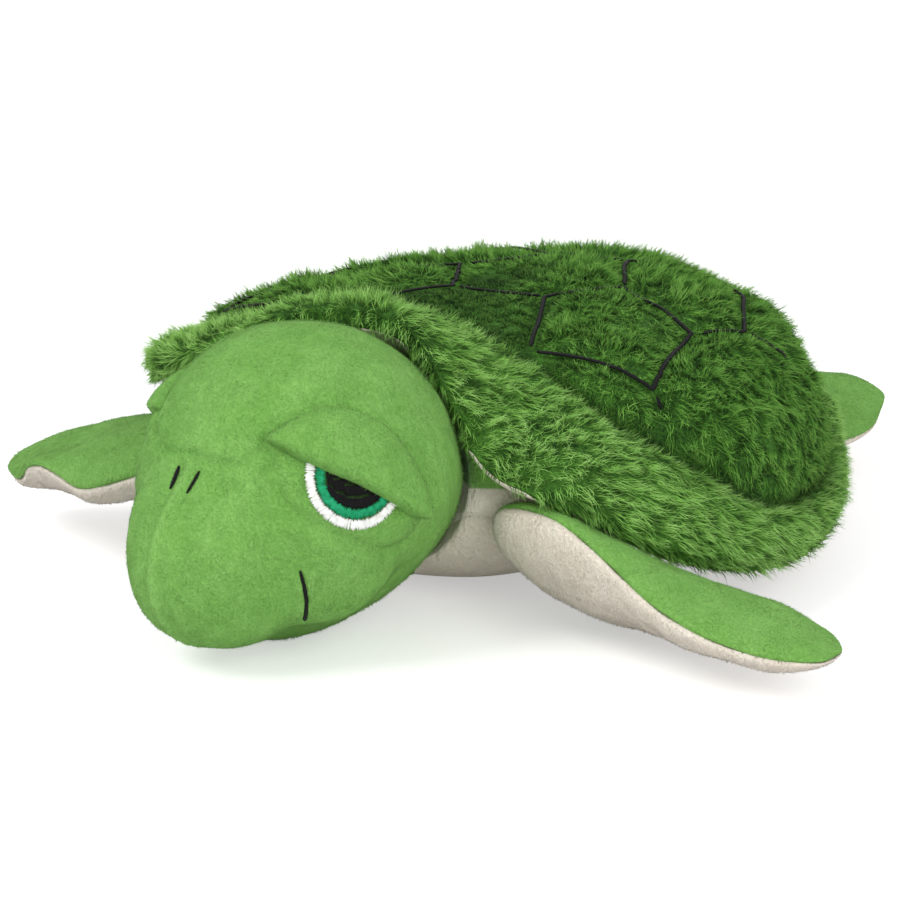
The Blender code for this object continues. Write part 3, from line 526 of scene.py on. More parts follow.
def pile_tree(name, material, segments=2):
    """Tapered bent fibres, rooted over a surface and laid along its comb."""
    g, given = new_tree(name, {
        "Fibre length": "Float", "Fibre width": "Float", "Fibre spacing": "Float",
        "Rise": "Float", "Scatter": "Float", "Gather": "Float", "Wind": "Float",
        "Curl": "Float", "Seed": "Int"})
    length, seed = given["Fibre length"], given["Seed"]
    spread = g.add("GeometryNodeDistributePointsOnFaces", {
        "Mesh": given["Geometry"], "Distance Min": given["Fibre spacing"],
        "Density Max": DENSITY_LIMIT, "Density Factor": g.named("cover"), "Seed": seed},
        distribute_method="POISSON")
    normal = spread.outputs["Normal"]
    place = g.add("GeometryNodeInputPosition")

    # A fibre's way: up, along the comb, towards its clump, with the wind, and astray
    clump = g.add("ShaderNodeTexVoronoi", {"Vector": place, "Scale": CLUMP_SCALE})
    inwards = g.vector("SUBTRACT", clump.outputs["Position"], place)
    ways = [g.named("comb", "FLOAT_VECTOR"), g.scaled(inwards, given["Gather"])]
    for scale, share in WIND_SCALES:
        wind = g.add("ShaderNodeTexNoise", {"Vector": place, "Scale": scale, "Detail": 1.0})
        wind = g.vector("SUBTRACT", wind.outputs["Color"], (0.5, 0.5, 0.5))
        ways.append(g.scaled(wind, g.math("MULTIPLY", given["Wind"], share)))
    ways.append(g.scaled(g.random(seed, (-1, -1, -1), (1, 1, 1)), given["Scatter"]))
    total = g.scaled(normal, given["Rise"])
    for way in ways:
        total = g.vector("ADD", total, way)
    aim = g.add("FunctionNodeAlignRotationToVector", {"Vector": total}, axis="Z")
    spin = g.add("FunctionNodeAxisAngleToRotation",
                 {"Axis": (0, 0, 1), "Angle": g.random(seed, 0, 2 * pi)})
    aim = g.add("FunctionNodeRotateRotation", {"Rotation": aim, "Rotate By": spin},
                rotation_space="LOCAL")

    # The fibre itself, marked from its root to its tip and bent
    fibre = g.add("GeometryNodeMeshCone", {
        "Vertices": 3, "Side Segments": segments, "Radius Top": 0.0,
        "Radius Bottom": given["Fibre width"], "Depth": length}, fill_type="NGON")
    height = g.add("ShaderNodeSeparateXYZ", {0: place}).outputs["Z"]
    share = g.math("DIVIDE", height, length)
    bend = g.math("MULTIPLY", g.math("MULTIPLY", share, share), given["Curl"])
    fibre = g.add("GeometryNodeSetPosition", {
        "Geometry": g.store(fibre, "tip", share),
        "Offset": g.add("ShaderNodeCombineXYZ", {"X": bend})})

    # Its size, by itself, its place and its tuft
    growth = g.random(seed, *FIBRE_GROWTH)
    tuft = g.add("ShaderNodeTexNoise", {"Vector": place, "Scale": TUFT_SCALE, "Detail": 1.0})
    tuft = g.span(tuft, *TUFT_NOISE, *TUFT_GROWTH)
    tall = g.math("MULTIPLY", g.math("MULTIPLY", growth, g.named("length")), tuft)
    size = g.add("ShaderNodeCombineXYZ", {"X": growth, "Y": growth, "Z": tall})
    rooted = g.store(spread, "lay", normal, kind="FLOAT_VECTOR")
    fibres = g.scatter(rooted, fibre, aim, size)
    # A random tone for each fibre, less painted shade where it grows far from its tuft's middle
    tint = g.math("SUBTRACT", g.math("MULTIPLY", g.random(seed, 0, 1), FIBRE_TINT),
                  g.math("MULTIPLY", clump.outputs["Distance"], CLUMP_PAINTED_SHADE))
    return finish_tree(g, g.store(fibres, "tint", tint, "INSTANCE"), material)


def stitch_tree(name, material):
    """Rounded strands of thread, each laid along its own direction on the cloth."""
    g, given = new_tree(name, {"Thread radius": "Float"})
    strand = g.add("GeometryNodeMeshUVSphere", {"Segments": 6, "Rings": 5, "Radius": 1.0})
    aim = g.add("FunctionNodeAlignRotationToVector",
                {"Vector": g.named("out", "FLOAT_VECTOR")}, axis="Z")
    aim = g.add("FunctionNodeAlignRotationToVector",
                {"Rotation": aim, "Vector": g.named("along", "FLOAT_VECTOR")},
                axis="X", pivot_axis="Z")
    radius = given["Thread radius"]
    size = g.add("ShaderNodeCombineXYZ", {"X": g.named("half_length"), "Y": radius, "Z": radius})
    points = g.add("GeometryNodeMeshToPoints", {"Mesh": given["Geometry"]})
    return finish_tree(g, g.scatter(points, strand, aim, size), material)


def stitch(name, body, colour, nodes, laid, radius=None):
    """A piece of strands: their places, their ways, the cloth's outward ways, half lengths."""
    mesh = bpy.data.meshes.new(name + "_places")
    mesh.from_pydata([tuple(place) for place in laid[0]], [], [])
    for field, values in zip(("along", "out", "half_length"), laid[1:]):
        add_attribute(mesh, field, values)
    slot = colour + "_thread"
    tree = bpy.data.node_groups.get("strands_of_" + slot)
    tree = tree or stitch_tree("strands_of_" + slot, cloth(slot))
    radius = radius or sizes().thread_radius
    dress(run_tree(tree, mesh, name, {"Thread radius": radius}), body, nodes)


# Materials

def new_material(name, roughness, specular=0.2, sheen=0.0, sheen_roughness=0.5,
                 sheen_colour=(1, 1, 1)):
    material = bpy.data.materials.new(name)
    material.use_nodes = True
    g = Graph(material.node_tree)
    shader = g.tree.nodes["Principled BSDF"]
    for key, value in (("Roughness", roughness), ("Specular IOR Level", specular),
                       ("Sheen Weight", sheen), ("Sheen Roughness", sheen_roughness),
                       ("Sheen Tint", linear(sheen_colour))):
        g.plug(value, shader.inputs[key])
    return material, g, shader.inputs


def add_bump(g, shader, height, strength, distance):
    bump = g.add("ShaderNodeBump", {"Height": height, "Strength": strength, "Distance": distance})
    g.plug(bump, shader["Normal"])


def soft_normal(g, shader, share):
    """Lights fibres partly as the cloth that they grow from, as a mass of them scatters light."""
    lay = g.add("ShaderNodeVectorTransform", {0: g.attribute("lay", "Vector")},
                vector_type="NORMAL", convert_from="OBJECT", convert_to="WORLD")
    own = g.add("ShaderNodeNewGeometry").outputs["Normal"]
    both = g.vector("ADD", g.scaled(lay, share), g.scaled(own, 1 - share))
    g.plug(g.vector("NORMALIZE", both), shader["Normal"])


def plush_material(name, dark, middle, light, nap=False):
    """Short napped plush: brushed patches, a fine mottle, and fibres seen end on.

    A pair of colours is that of the cloth over the body's seam and of the one below it.
    """
    paired = len(light) == 2
    material, g, shader = new_material(name, 0.9, 0.2, 0.4, 0.45, (1, 1, 1) if paired else light)
    place = g.place()
    if paired:
        height = g.add("ShaderNodeSeparateXYZ", {0: place}).outputs["Z"]
        upper = g.span(height, BODY_SEAM_HEIGHT - 0.0004, BODY_SEAM_HEIGHT + 0.0004)
        dark, middle, light = [g.mix(upper, linear(lower), linear(higher))
                               for higher, lower in (dark, middle, light)]
    else:
        dark, middle, light = linear(dark), linear(middle), linear(light)
    lay = g.add("ShaderNodeMapping", {"Vector": place, "Scale": (1.0, 1.0, 0.5)})
    broad = g.noise(place, *BROAD_PATCHES)
    patches = g.noise(lay, *BRUSHED_PATCHES)
    mottle = g.noise(place, *MOTTLE)
    colour = g.mix(BROAD_SHARE, middle, g.mix(broad, middle, light))
    colour = g.mix(BRUSHED_SHARE, colour, g.mix(patches, dark, colour))
    colour = g.mix(MOTTLE_SHARE, colour, g.mix(mottle, dark, light))
    # Painted highlight: the cloth is lighter along the ridge of the beak's seam
    colour = g.mix(g.math("MULTIPLY", g.attribute("seam"), SEAM_HIGHLIGHT_SHARE), colour, light)
    if nap:
        # Painted light: the nap is lighter towards its tips, to offset its own shade
        colour = g.mix(g.math("MULTIPLY", g.attribute("tip"), NAP_TIP_PAINTED_LIGHT), colour, light)
        soft_normal(g, shader, NAP_SOFTNESS)
    else:
        height = g.math("ADD", mottle, g.math("MULTIPLY", patches, 1.5))
        add_bump(g, shader, height, 0.7, 0.0006)
    g.plug(colour, shader["Base Color"])
    return material


def pile_material(name, root, middle, tip):
    """Long pile in tufts of fine strands, light at its tips, and dark at its roots and between its
    tufts with painted shade.
    """
    material, g, shader = new_material(name, 0.8)
    patches = g.noise(g.place(), *PILE_PATCHES)
    # How far along its fibre a point is, plus its random tone, less painted shade between tufts
    reach = g.math("ADD", g.attribute("tip"), g.attribute("tint"))
    # Painted shade: the pile darkens towards its roots
    colour = g.mix(g.span(reach, *PILE_ROOT_REACH), linear(root), linear(middle))
    colour = g.mix(g.span(reach, *PILE_TIP_REACH), colour, linear(tip))
    colour = g.mix(PILE_PATCH_SHARE, colour, g.mix(patches, linear(middle), colour))
    # Painted shade where the shade mask is high: in the groove by the dome's foot
    shaded = linear([channel * PILE_SHADE for channel in root])
    g.plug(g.mix(g.attribute("shade"), colour, shaded), shader["Base Color"])
    soft_normal(g, shader, PILE_SOFTNESS)
    return material


def thread_material(name, colour, light):
    """Embroidery thread with a soft gloss and the twist of its strands."""
    material, g, shader = new_material(name, 0.5, 0.15, 0.05, 0.3, light)
    place = g.place()
    tones = g.mix(g.noise(place, *THREAD_TONE), linear(colour), linear(light))
    g.plug(tones, shader["Base Color"])
    add_bump(g, shader, g.noise(place, *THREAD_TWIST), 0.4, 0.0001)
    return material


def cloth(finish):
    """The finish of that name, made the first time that it is asked for."""
    name = "fine_" + finish
    made = bpy.data.materials.get(name)
    if made:
        return made
    c = bpy.context.scene.turtle_colours
    leaf = c.leaf_dark, c.leaf, c.leaf_light
    cream = c.cream_dark, c.cream, c.cream_light
    make, *tones = {
        "leaf_plush": (plush_material, *leaf),
        "leaf_nap": (plush_material, *leaf, True),
        "cream_plush": (plush_material, *cream),
        "cream_nap": (plush_material, *cream, True),
        "neck_plush": (plush_material, *zip(leaf, cream)),
        # The backing is painted in the dark of the roots' shade, as only shade shows between the
        # fibres
        "shell_backing": (plush_material, c.shell_root, c.shell_root, c.shell),
        "shell_plush": (pile_material, c.shell_root, c.shell, c.shell_tip),
        "rim_plush": (pile_material, c.rim_root_shade, c.rim, c.rim_tip),
        "white_thread": (thread_material, c.white_thread, (1, 1, 1)),
        "teal_thread": (thread_material, c.teal_thread, (0.16, 0.66, 0.46)),
        "black_thread": (thread_material, c.black_thread, (0.06, 0.05, 0.06)),
    }[finish]
    return make(name, *tones)


# Pile and nap

def comb(mesh, way, cover, length):
    """Stores which way, how thickly and how long the fibres grow on a backing."""
    normals = vertex_normals(mesh)
    add_attribute(mesh, "comb", way - normals * (way * normals).sum(axis=1, keepdims=True))
    add_attribute(mesh, "cover", cover)
    add_attribute(mesh, "length", length)


def grow(tree, mesh, name, kind, scatter, lay, curl=0.0):
    """The fibres on a combed mesh, of the nap, the dome or the rim."""
    fibre = [getattr(sizes(), kind + field) for field in ("_length", "_width", "_spacing")]
    labels = ("Fibre length", "Fibre width", "Fibre spacing", "Rise", "Gather", "Wind", "Seed")
    return run_tree(tree, mesh, name, {
        **dict(zip(labels, (*fibre, *lay))), "Scatter": scatter, "Curl": fibre[0] * curl})


def grow_nap(obj, body, slot, cover=None):
    """Short fibres that stand on a piece of plush and soften its outline."""
    mesh = obj.data.copy()
    even = np.ones(len(mesh.vertices))
    comb(mesh, np.array([NAP_COMB]), even if cover is None else cover, even)
    name = "nap_of_" + slot
    tree = bpy.data.node_groups.get(name)
    tree = tree or pile_tree(name, cloth(slot.replace("plush", "nap")), 1)
    dress(grow(tree, mesh, obj.name.replace("plush", "nap"), "nap", NAP_SCATTER, NAP_LAY),
          body)


def grow_pile(mesh, kind, slot, cover, length, shade, lay):
    """Long pile that leans out and back over the shell, in a few pieces round it."""
    out_share, back_share, *lay, seed = lay
    grown = mesh.copy()
    points = vertices(mesh)
    out = points - np.array(CROWN)
    out[:, 2] = 0
    out /= np.maximum(np.linalg.norm(out, axis=1, keepdims=True), 1e-6)
    way = out * out_share + np.array((0, back_share, -DOWN_COMB * out_share))
    comb(grown, way, cover, length)
    # Painted shade: how far the pile is darkened as if in shade, in the groove and low on the dome
    add_attribute(grown, "shade", shade)
    turns = (np.arctan2(points[:, 0] - CROWN.x, CROWN.y - points[:, 1]) / (2 * pi)) % 1
    pieces = (turns * PILE_PIECES).astype(int) % PILE_PIECES
    tree = pile_tree("pile_of_" + kind, cloth(slot))
    for step in range(PILE_PIECES):
        part = grown.copy()
        part.attributes["cover"].data.foreach_set("value", np.where(pieces == step, cover, 0))
        dress(grow(tree, part, "shell_%s_pile_%d" % (kind, step + 1), kind, sizes().pile_scatter,
                   (*lay, seed + step), PILE_CURL), "body")


# Head

def compass(azimuth, elevation):
    """A direction turned from straight ahead towards the left, and up, in degrees."""
    azimuth, elevation = radians(azimuth), radians(elevation)
    return Vector((sin(azimuth) * cos(elevation), -cos(azimuth) * cos(elevation), sin(elevation)))


def exit_distance(directions, centre, radii):
    """How far rays from the origin run until they leave an ellipsoid, or zero."""
    rays = directions / np.array(radii)
    middle = np.array(centre) / np.array(radii)
    a = (rays * rays).sum(axis=1)
    b = rays @ middle
    under = b * b - a * (middle @ middle - 1)
    return np.where(under > 0, (b + np.sqrt(np.maximum(under, 0))) / a, 0)


def smooth_larger(first, second, blend):
    overlap = np.maximum(blend - abs(first - second), 0) / blend
    return np.maximum(first, second) + overlap * overlap * blend / 4


def on_face(side, azimuth, elevation):
    """A direction on one half of the face, whose right eye is sewn a little further back."""
    shift = EYE_SHIFT_RIGHT if side < 0 and azimuth > 25 else 0
    return compass(side * (azimuth + shift), elevation)


def face_line(corners, side, steps=6):
    """A line over the face as unit directions, mirrored for the right side."""
    corners = [on_face(side, azimuth, elevation) for azimuth, elevation in corners]
    line = [corners[0]]
    for first, second in zip(corners, corners[1:]):
        line += [first.slerp(second, step / steps) for step in range(1, steps + 1)]
    return np.array(line)


def face_distance(directions, corners, side):
    """How far directions of the face are from a line on it, in metres on the head's ball."""
    return line_distance(directions, face_line(corners, side)) * HEAD_RADIUS


def angle_from(directions, aim):
    return np.arccos(np.clip(directions @ np.array(aim), -1, 1))


def head_distance(directions):
    """The stuffed head's surface, measured from the middle of its ball."""
    off_keel = np.sqrt(directions[:, 0] ** 2 + JAW_KEEL_SHARE ** 2) - JAW_KEEL_SHARE
    jaw = 2 * off_keel * np.maximum(-directions[:, 2], 0) * (1 - np.maximum(directions[:, 1], 0))
    beak = exit_distance(directions, BEAK_OFFSET, (BEAK_RADIUS,) * 3)
    radius = smooth_larger(HEAD_RADIUS - JAW_TRIM * jaw, beak, BEAK_BLEND)
    for side in (-1, 1):
        middle = compass(side * CHEEK_PLACE[0], CHEEK_PLACE[1]) * CHEEK_REACH
        cheek = exit_distance(directions, middle, (CHEEK_RADIUS,) * 3)
        radius = smooth_larger(radius, cheek, CHEEK_BLEND)
    return radius + head_needlework(directions)


def beak_front(directions):
    """One where the seam runs down the beak, and zero elsewhere."""
    return ramp(-directions[:, 1], 0.2, 0.5) * ramp(-directions[:, 2], -0.36, -0.3)


def head_needlework(directions):
    """The creases, seams and padded places that sewing leaves in the head."""
    made = stuffing_lumps(directions * HEAD_RADIUS, sizes().lump_depth)
    for side in (-1, 1):
        for line, depth, width in HEAD_CREASES:
            made -= depth * bell(face_distance(directions, line, side), width)
        pad = compass(side * EYE_PAD_PLACE[0], EYE_PAD_PLACE[1])
        pad = ramp(-np.degrees(angle_from(directions, pad)), *EYE_PAD_REACH)
        made += EYE_PAD_HEIGHTS[side] * pad
    dimple = np.degrees(angle_from(directions, on_face(-1, *EYE_PLACE)))
    made -= EYE_DIMPLE_DEPTH * ramp(-dimple, *EYE_DIMPLE_REACH)
    off = abs(directions[:, 0]) * HEAD_RADIUS
    dash = 0.75 + 0.25 * np.sin(directions[:, 2] * HEAD_RADIUS / BEAK_STITCH_LENGTH * 2 * pi)
    ridge = BEAK_RIDGE_HEIGHT * dash * bell(off, BEAK_RIDGE_WIDTH)
    ridge -= BEAK_VALLEY_DEPTH * bell(off - BEAK_VALLEY_OFFSET, BEAK_RIDGE_WIDTH)
    return made + beak_front(directions) * ridge


def turned(directions):
    """Directions of the face, turned with the head, which looks a little to its right."""
    return np.asarray(directions, float) @ HEAD_TURN.T


def head_points(directions, lift=0.0):
    directions = np.asarray(directions, float)
    return np.array(HEAD_CENTRE) + turned(directions) * (head_distance(directions) + lift)[:, None]


def head_normals(directions, step=0.01):
    """Outward normals of the head, from two short steps along it."""
    across = unit(np.cross(np.broadcast_to((0.0, 0.0, 1.0), directions.shape), directions))
    middle = head_points(directions)
    steps = [head_points(unit(directions + way * step)) - middle
             for way in (across, np.cross(directions, across))]
    return unit(np.cross(*steps))


def make_head():
    shape = bmesh.new()
    bmesh.ops.create_icosphere(shape, subdivisions=7, radius=1)
    mesh = bpy.data.meshes.new("head_plush")
    shape.to_mesh(mesh)
    shape.free()
    directions = unit(vertices(mesh))
    set_vertices(mesh, head_points(directions))
    # The beak's seam, kept as a mask for a painted highlight along its ridge
    add_attribute(mesh, "seam", bell(directions[:, 0] * HEAD_RADIUS, 0.0011) * beak_front(directions))
    mesh.shade_smooth()
    covers = [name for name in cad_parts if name.startswith(("head_", "beak_"))]
    head = add_padded(mesh, "head", "leaf_plush", covers)
    cover = ramp(-directions[:, 1], *HEAD_BACK_BARE)
    for side in (-1, 1):
        for line in (MOUTH_LINE, NOSTRIL_LINE):
            cover *= ramp(face_distance(directions, line, side), *FACE_LINE_BARE)
        eye = angle_from(directions, on_face(side, *EYE_PLACE)) * HEAD_RADIUS
        cover *= ramp(eye, EYE_RADIUS - EYE_BARE_EDGE, EYE_RADIUS + EYE_BARE_EDGE)
    grow_nap(head, "head", "leaf_plush", cover)


def part_way(line, share):
    """The point at a share of a line of even steps."""
    place = share * (len(line) - 1)
    first = min(int(place), len(line) - 2)
    return Vector(line[first]).lerp(Vector(line[first + 1]), place - first)


def lid_lift(rise):
    """How full an eyelid is between its lower edge and its top, as a share."""
    if rise < LID_EDGE_SHARE:
        return sqrt(1 - (1 - rise / LID_EDGE_SHARE) ** 2)
    return 1 - ((rise - LID_EDGE_SHARE) / (1 - LID_EDGE_SHARE)) ** 2.2


def make_eyelids():
    """Padded lids that hang over the eyes, thick at the lower edge."""
    across, over = 64, 28
    for side, word in SIDES:
        tops, feet = face_line(LID_TOP, side), face_line(LID_FOOT, side)
        rows = []
        for step in range(across + 1):
            share = step / across
            top, foot = part_way(tops, share), part_way(feet, share)
            full = max(1 - abs(2 * share - 1) ** 5, 0) ** 0.5
            rises = [level / over for level in range(over + 1)]
            directions = [foot.lerp(top, rise).normalized() for rise in rises]
            lifts = np.array([lid_lift(rise) * full * sizes().lid_thickness * LID_SHARES[side]
                              for rise in rises])
            loop = [*head_points(directions, lifts - LID_TUCK),
                    *head_points(directions, -LID_DEPTH)[::-1]]
            rows.append([Vector(point) for point in loop])
        for end in (0, -1):
            rows[end] = [sum(rows[end], Vector()) / len(rows[end])]
        lid = add_padded(loft("eyelid_plush_" + word, rows), "head", "leaf_plush",
                         ["eyelid_" + word])
        grow_nap(lid, "head", "leaf_plush")


# Embroidery on the face

def lay_strand(laid, ends, lift, out):
    """Adds a strand of thread between two directions of the face."""
    points = head_points(ends, lift)
    run = points[1] - points[0]
    strand = points.mean(axis=0), run, turned(out), np.linalg.norm(run) / 2
    for row, value in zip(laid, strand):
        row.append(value)


def make_eyes():
    """Satin rings of white and teal thread round a black pupil of rows of stitches."""
    generator = np.random.default_rng(7)
    spacing = sizes().thread_radius * RING_SPACING_SHARE
    lift = SEAM_GAP + PATCH_THICKNESS
    for side, word in SIDES:
        normal = on_face(side, *EYE_PLACE)
        across = UP.cross(normal).normalized()
        up = normal.cross(across)

        def on_eye(right, high):
            return (normal * HEAD_RADIUS + across * right + up * high).normalized()

        def round_eye(angle, radius):
            return on_eye(cos(angle) * radius, sin(angle) * radius)

        for colour, node, inner, outer, height in (
                ("white", "eye_white_", IRIS_RADIUS, EYE_RADIUS, lift),
                ("teal", "eye_iris_", PUPIL_RADIUS, IRIS_RADIUS, lift + LAYER_HEIGHT)):
            laid = [], [], [], []
            count = int(2 * pi * outer / spacing)
            for index in range(2 * count):
                layer, step = divmod(index, count)
                angle = 2 * pi * (step + layer / 2) / count
                radii = [inner + generator.uniform(*RING_INNER_SPREAD),
                         outer + generator.uniform(*RING_OUTER_SPREAD)]
                ends = [round_eye(angle + generator.uniform(*RING_ANGLE_SPREAD), radius)
                        for radius in radii]
                lay_strand(laid, ends, height + layer * LAYER_HEIGHT,
                           round_eye(angle, sum(radii) / 2))
            stitch("%s_thread_ring_%s" % (colour, word), "head", colour, [node + word], laid)
        laid = [], [], [], []
        rows = int(PUPIL_RADIUS / spacing)
        for row in range(-rows, rows + 1):
            offset = row * spacing
            reach = sqrt(max((PUPIL_RADIUS + STITCH_OVERLAP) ** 2 - offset ** 2, 0))
            pieces = max(ceil(reach / PUPIL_STITCH), 1)
            for piece in range(pieces):
                start = -reach + 2 * reach * piece / pieces
                end = -reach + 2 * reach * (piece + 1) / pieces
                ends = [on_eye(offset, start - STITCH_OVERLAP), on_eye(offset, end + STITCH_OVERLAP)]
                lay_strand(laid, ends, lift + 2 * LAYER_HEIGHT + generator.uniform(0, LAYER_HEIGHT),
                           ends[0].lerp(ends[1], 0.5).normalized())
        stitch("black_thread_pupil_" + word, "head", "black", ["eye_pupil_" + word], laid)


def satin_line(places, normals, half_width, generator, spacing=None):
    """Satin stitches side by side across a line, as places, directions and lengths."""
    spacing = spacing or sizes().thread_radius * LINE_SPACING_SHARE
    places, normals = np.asarray(places, float), np.asarray(normals, float)
    lengths = np.concatenate([[0], np.cumsum(np.linalg.norm(np.diff(places, axis=0), axis=1))])
    stations = np.arange(0, lengths[-1], spacing)
    points, outs = [np.stack([np.interp(stations, lengths, rows[:, i]) for i in range(3)], axis=1)
                    for rows in (places, normals)]
    runs = np.gradient(points, axis=0)
    slant = unit(runs) * generator.uniform(*SATIN_SLANT, (len(points), 1))
    ends = np.minimum(stations, lengths[-1] - stations)
    taper = 0.55 + 0.45 * ramp(ends, 0, half_width * 2)
    halves = half_width * generator.uniform(*SATIN_SPREAD, len(points)) * taper
    return points, unit(np.cross(outs, runs)) + slant, outs, halves


def make_face_lines():
    generator = np.random.default_rng(11)
    for side, word in SIDES:
        for name, line, half_width in FACE_STITCHES:
            directions = face_line(line, side, 8)
            laid = satin_line(head_points(directions, SEAM_GAP), head_normals(directions),
                              half_width, generator)
            stitch("%s_thread_%s" % (name, word), "head", "black",
                   ["%s_stitch_%s" % (name, word)], laid)


# Body and neck

def body_row(level, turns):
    """A loop round the body at a level, the height of its directions."""
    angles = np.arange(turns) * 2 * pi / turns
    flat = sqrt(max(1 - level * level, 0))
    directions = np.stack([np.sin(angles) * flat, -np.cos(angles) * flat,
                           np.full(turns, level)], axis=1)
    belly = exit_distance(directions, BELLY_CENTRE - BODY_HEART, BELLY_RADII)
    chest = exit_distance(directions, CHEST_CENTRE - BODY_HEART, CHEST_RADII)
    points = np.array(BODY_HEART) + directions * smooth_larger(belly, chest, BODY_BLEND)[:, None]
    points += directions * stuffing_lumps(points, sizes().lump_depth, BODY_LUMP_LENGTH)[:, None]
    seam = bell(points[:, 2] - BODY_SEAM_HEIGHT, BODY_SEAM_WIDTH)
    points -= directions * (sizes().seam_depth * seam)[:, None]
    aside = points - np.array(HEAD_CENTRE)
    aside = np.arccos(aside @ np.array(NECK_AXIS) / np.linalg.norm(aside, axis=1))
    socket = NECK_THICKNESS + SEAM_GAP - HEAD_CLEARANCE
    socket *= 1 - ramp(aside, NECK_OPENING - NECK_HIDDEN / 2, NECK_OPENING)
    points = clear_ball(points, (HEAD_RADIUS + HEAD_CLEARANCE + socket)[:, None])
    points[:, 2] = np.maximum(points[:, 2], 0)
    return [Vector(point) for point in points]


def make_body():
    turns, levels = 144, 40
    for name, pole, finish, slot, nodes in (
            ("back_plush", 1, "neck_plush", "leaf_plush", ["back_cover", "body_filling"]),
            ("belly_plush", -1, "cream_plush", "cream_plush", ["belly_cover"])):
        rows = [[BODY_HEART - UP * 0.008]]
        rows += [body_row(sin(pole * pi / 2 * step / levels), turns) for step in range(levels)]
        rows.append([body_row(pole * 0.9999, 4)[0]])
        add_padded(loft(name, rows), "body", finish, nodes)


def make_neck():
    """A round layer of padding between the head's ball and the body, thin at its edge."""
    steps, turns = 24, 96
    near = HEAD_RADIUS + 3 * SEAM_GAP
    far = HEAD_RADIUS + NECK_THICKNESS
    edge = NECK_OPENING - NECK_HIDDEN
    tilted = UP.rotation_difference(NECK_AXIS).to_matrix()
    profile = [(near, edge * step / steps) for step in range(steps + 1)]
    for step in range(steps - 1, -1, -1):
        thin = ramp(step / steps, 0.35, 0.95)
        profile.append((far - (far - near - CLOTH_THICKNESS / 2) * thin, edge * step / steps))
    rows = [[HEAD_CENTRE + tilted @ Vector((radius * sin(angle) * cos(2 * pi * turn / turns),
                                            radius * sin(angle) * sin(2 * pi * turn / turns),
                                            radius * cos(angle)))
             for turn in range(turns if angle else 1)] for radius, angle in profile]
    add_padded(loft("neck_plush", rows), "neck", "neck_plush", ["neck_cover", "neck_filling"])


# Shell

def outline(shares, turn, left_shares=None):
    """A point on a closed outline, where a turn of 0 is the front and 0.5 the rear."""
    last = len(shares) - 1
    place = turn % 1 * 2 * last
    first = int(place)
    share = place - first

    def corner(index):
        index %= 2 * last
        if index <= last:
            return Vector((left_shares or shares)[index])
        across, along, height = shares[2 * last - index]
        return Vector((-across, along, height))

    a, b, c, d = (corner(first + step) for step in (-1, 0, 1, 2))
    point = b + (c - a) * (share / 2)
    point += (a - b * 2.5 + c * 2 - d / 2) * share ** 2
    point += (b * 1.5 - a / 2 - c * 1.5 + d / 2) * share ** 3
    return point * SHELL_SIZE


def dome_foot(turn):
    return DOME_TILT @ outline(DOME_FOOT_SHARES, turn)


def dome_surface(turn, level):
    """A point of the dome: level is 0 at its foot and 1 at its crown."""
    foot = dome_foot(turn)
    out = foot - CROWN
    out.z = 0
    flat = cos(level * pi / 2)
    point = Vector((CROWN.x, CROWN.y, 0)) + out * max(flat, 0) ** DOME_SWELL_SHARE
    point.z = foot.z + (CROWN.z - foot.z) * sin(level * pi / 2) ** DOME_SWELL_SHARE
    return point


def rim_surface(turn, angle):
    """The padded rim: flat sections from inside the dome's foot to the outer edge."""
    foot = dome_foot(turn)
    edge = RIM_TILT @ outline(RIM_EDGE_SHARES, turn, RIM_EDGE_SHARES_LEFT)
    inner = foot - (edge - foot).normalized() * RIM_TUCK
    middle, half = (inner + edge) / 2, (edge - inner) / 2
    along = outline(RIM_EDGE_SHARES, turn + TURN_STEP) - outline(RIM_EDGE_SHARES, turn - TURN_STEP)
    lift = half.cross(along).normalized()
    if lift.z < 0:
        lift.negate()
    width = abs(cos(angle)) ** RIM_SWELL_SHARE * (1 if cos(angle) > 0 else -1)
    return middle + half * width + lift * (sin(angle) * RIM_THICKNESS / 2)


def over_dome(across, along):
    """The point of the dome over a place in plan."""
    aim = Vector((across * SHELL_SIZE.x, along * SHELL_SIZE.y, 0)) - CROWN
    aim.z = 0
    wanted = turn = atan2(aim.x, -aim.y) / (2 * pi)
    for _ in range(12):
        foot = dome_foot(turn) - CROWN
        foot.z = 0
        turn += (wanted - atan2(foot.x, -foot.y) / (2 * pi) + 0.5) % 1 - 0.5
    reach = min(aim.length / foot.length, 1) ** (1 / DOME_SWELL_SHARE)
    return dome_surface(turn, acos(reach) * 2 / pi)


def scute_rows():
    """The stitched lines over the dome, as rows of points."""
    lines = dict(MIDDLE_LINES)
    for name, line in SIDE_LINES.items():
        lines[name + "_left"] = line
        lines[name + "_right"] = [(-across * RIGHT_SIDE_SHARE, along) for across, along in line]
    rows = {}
    for name, line in lines.items():
        row = [over_dome(*line[0])]
        for first, second in zip(line, line[1:]):
            steps = ceil((over_dome(*second) - over_dome(*first)).length / 0.003)
            row += [over_dome(*[a + (b - a) * step / steps for a, b in zip(first, second)])
                    for step in range(1, steps + 1)]
        rows[name] = np.array(row)
    return rows


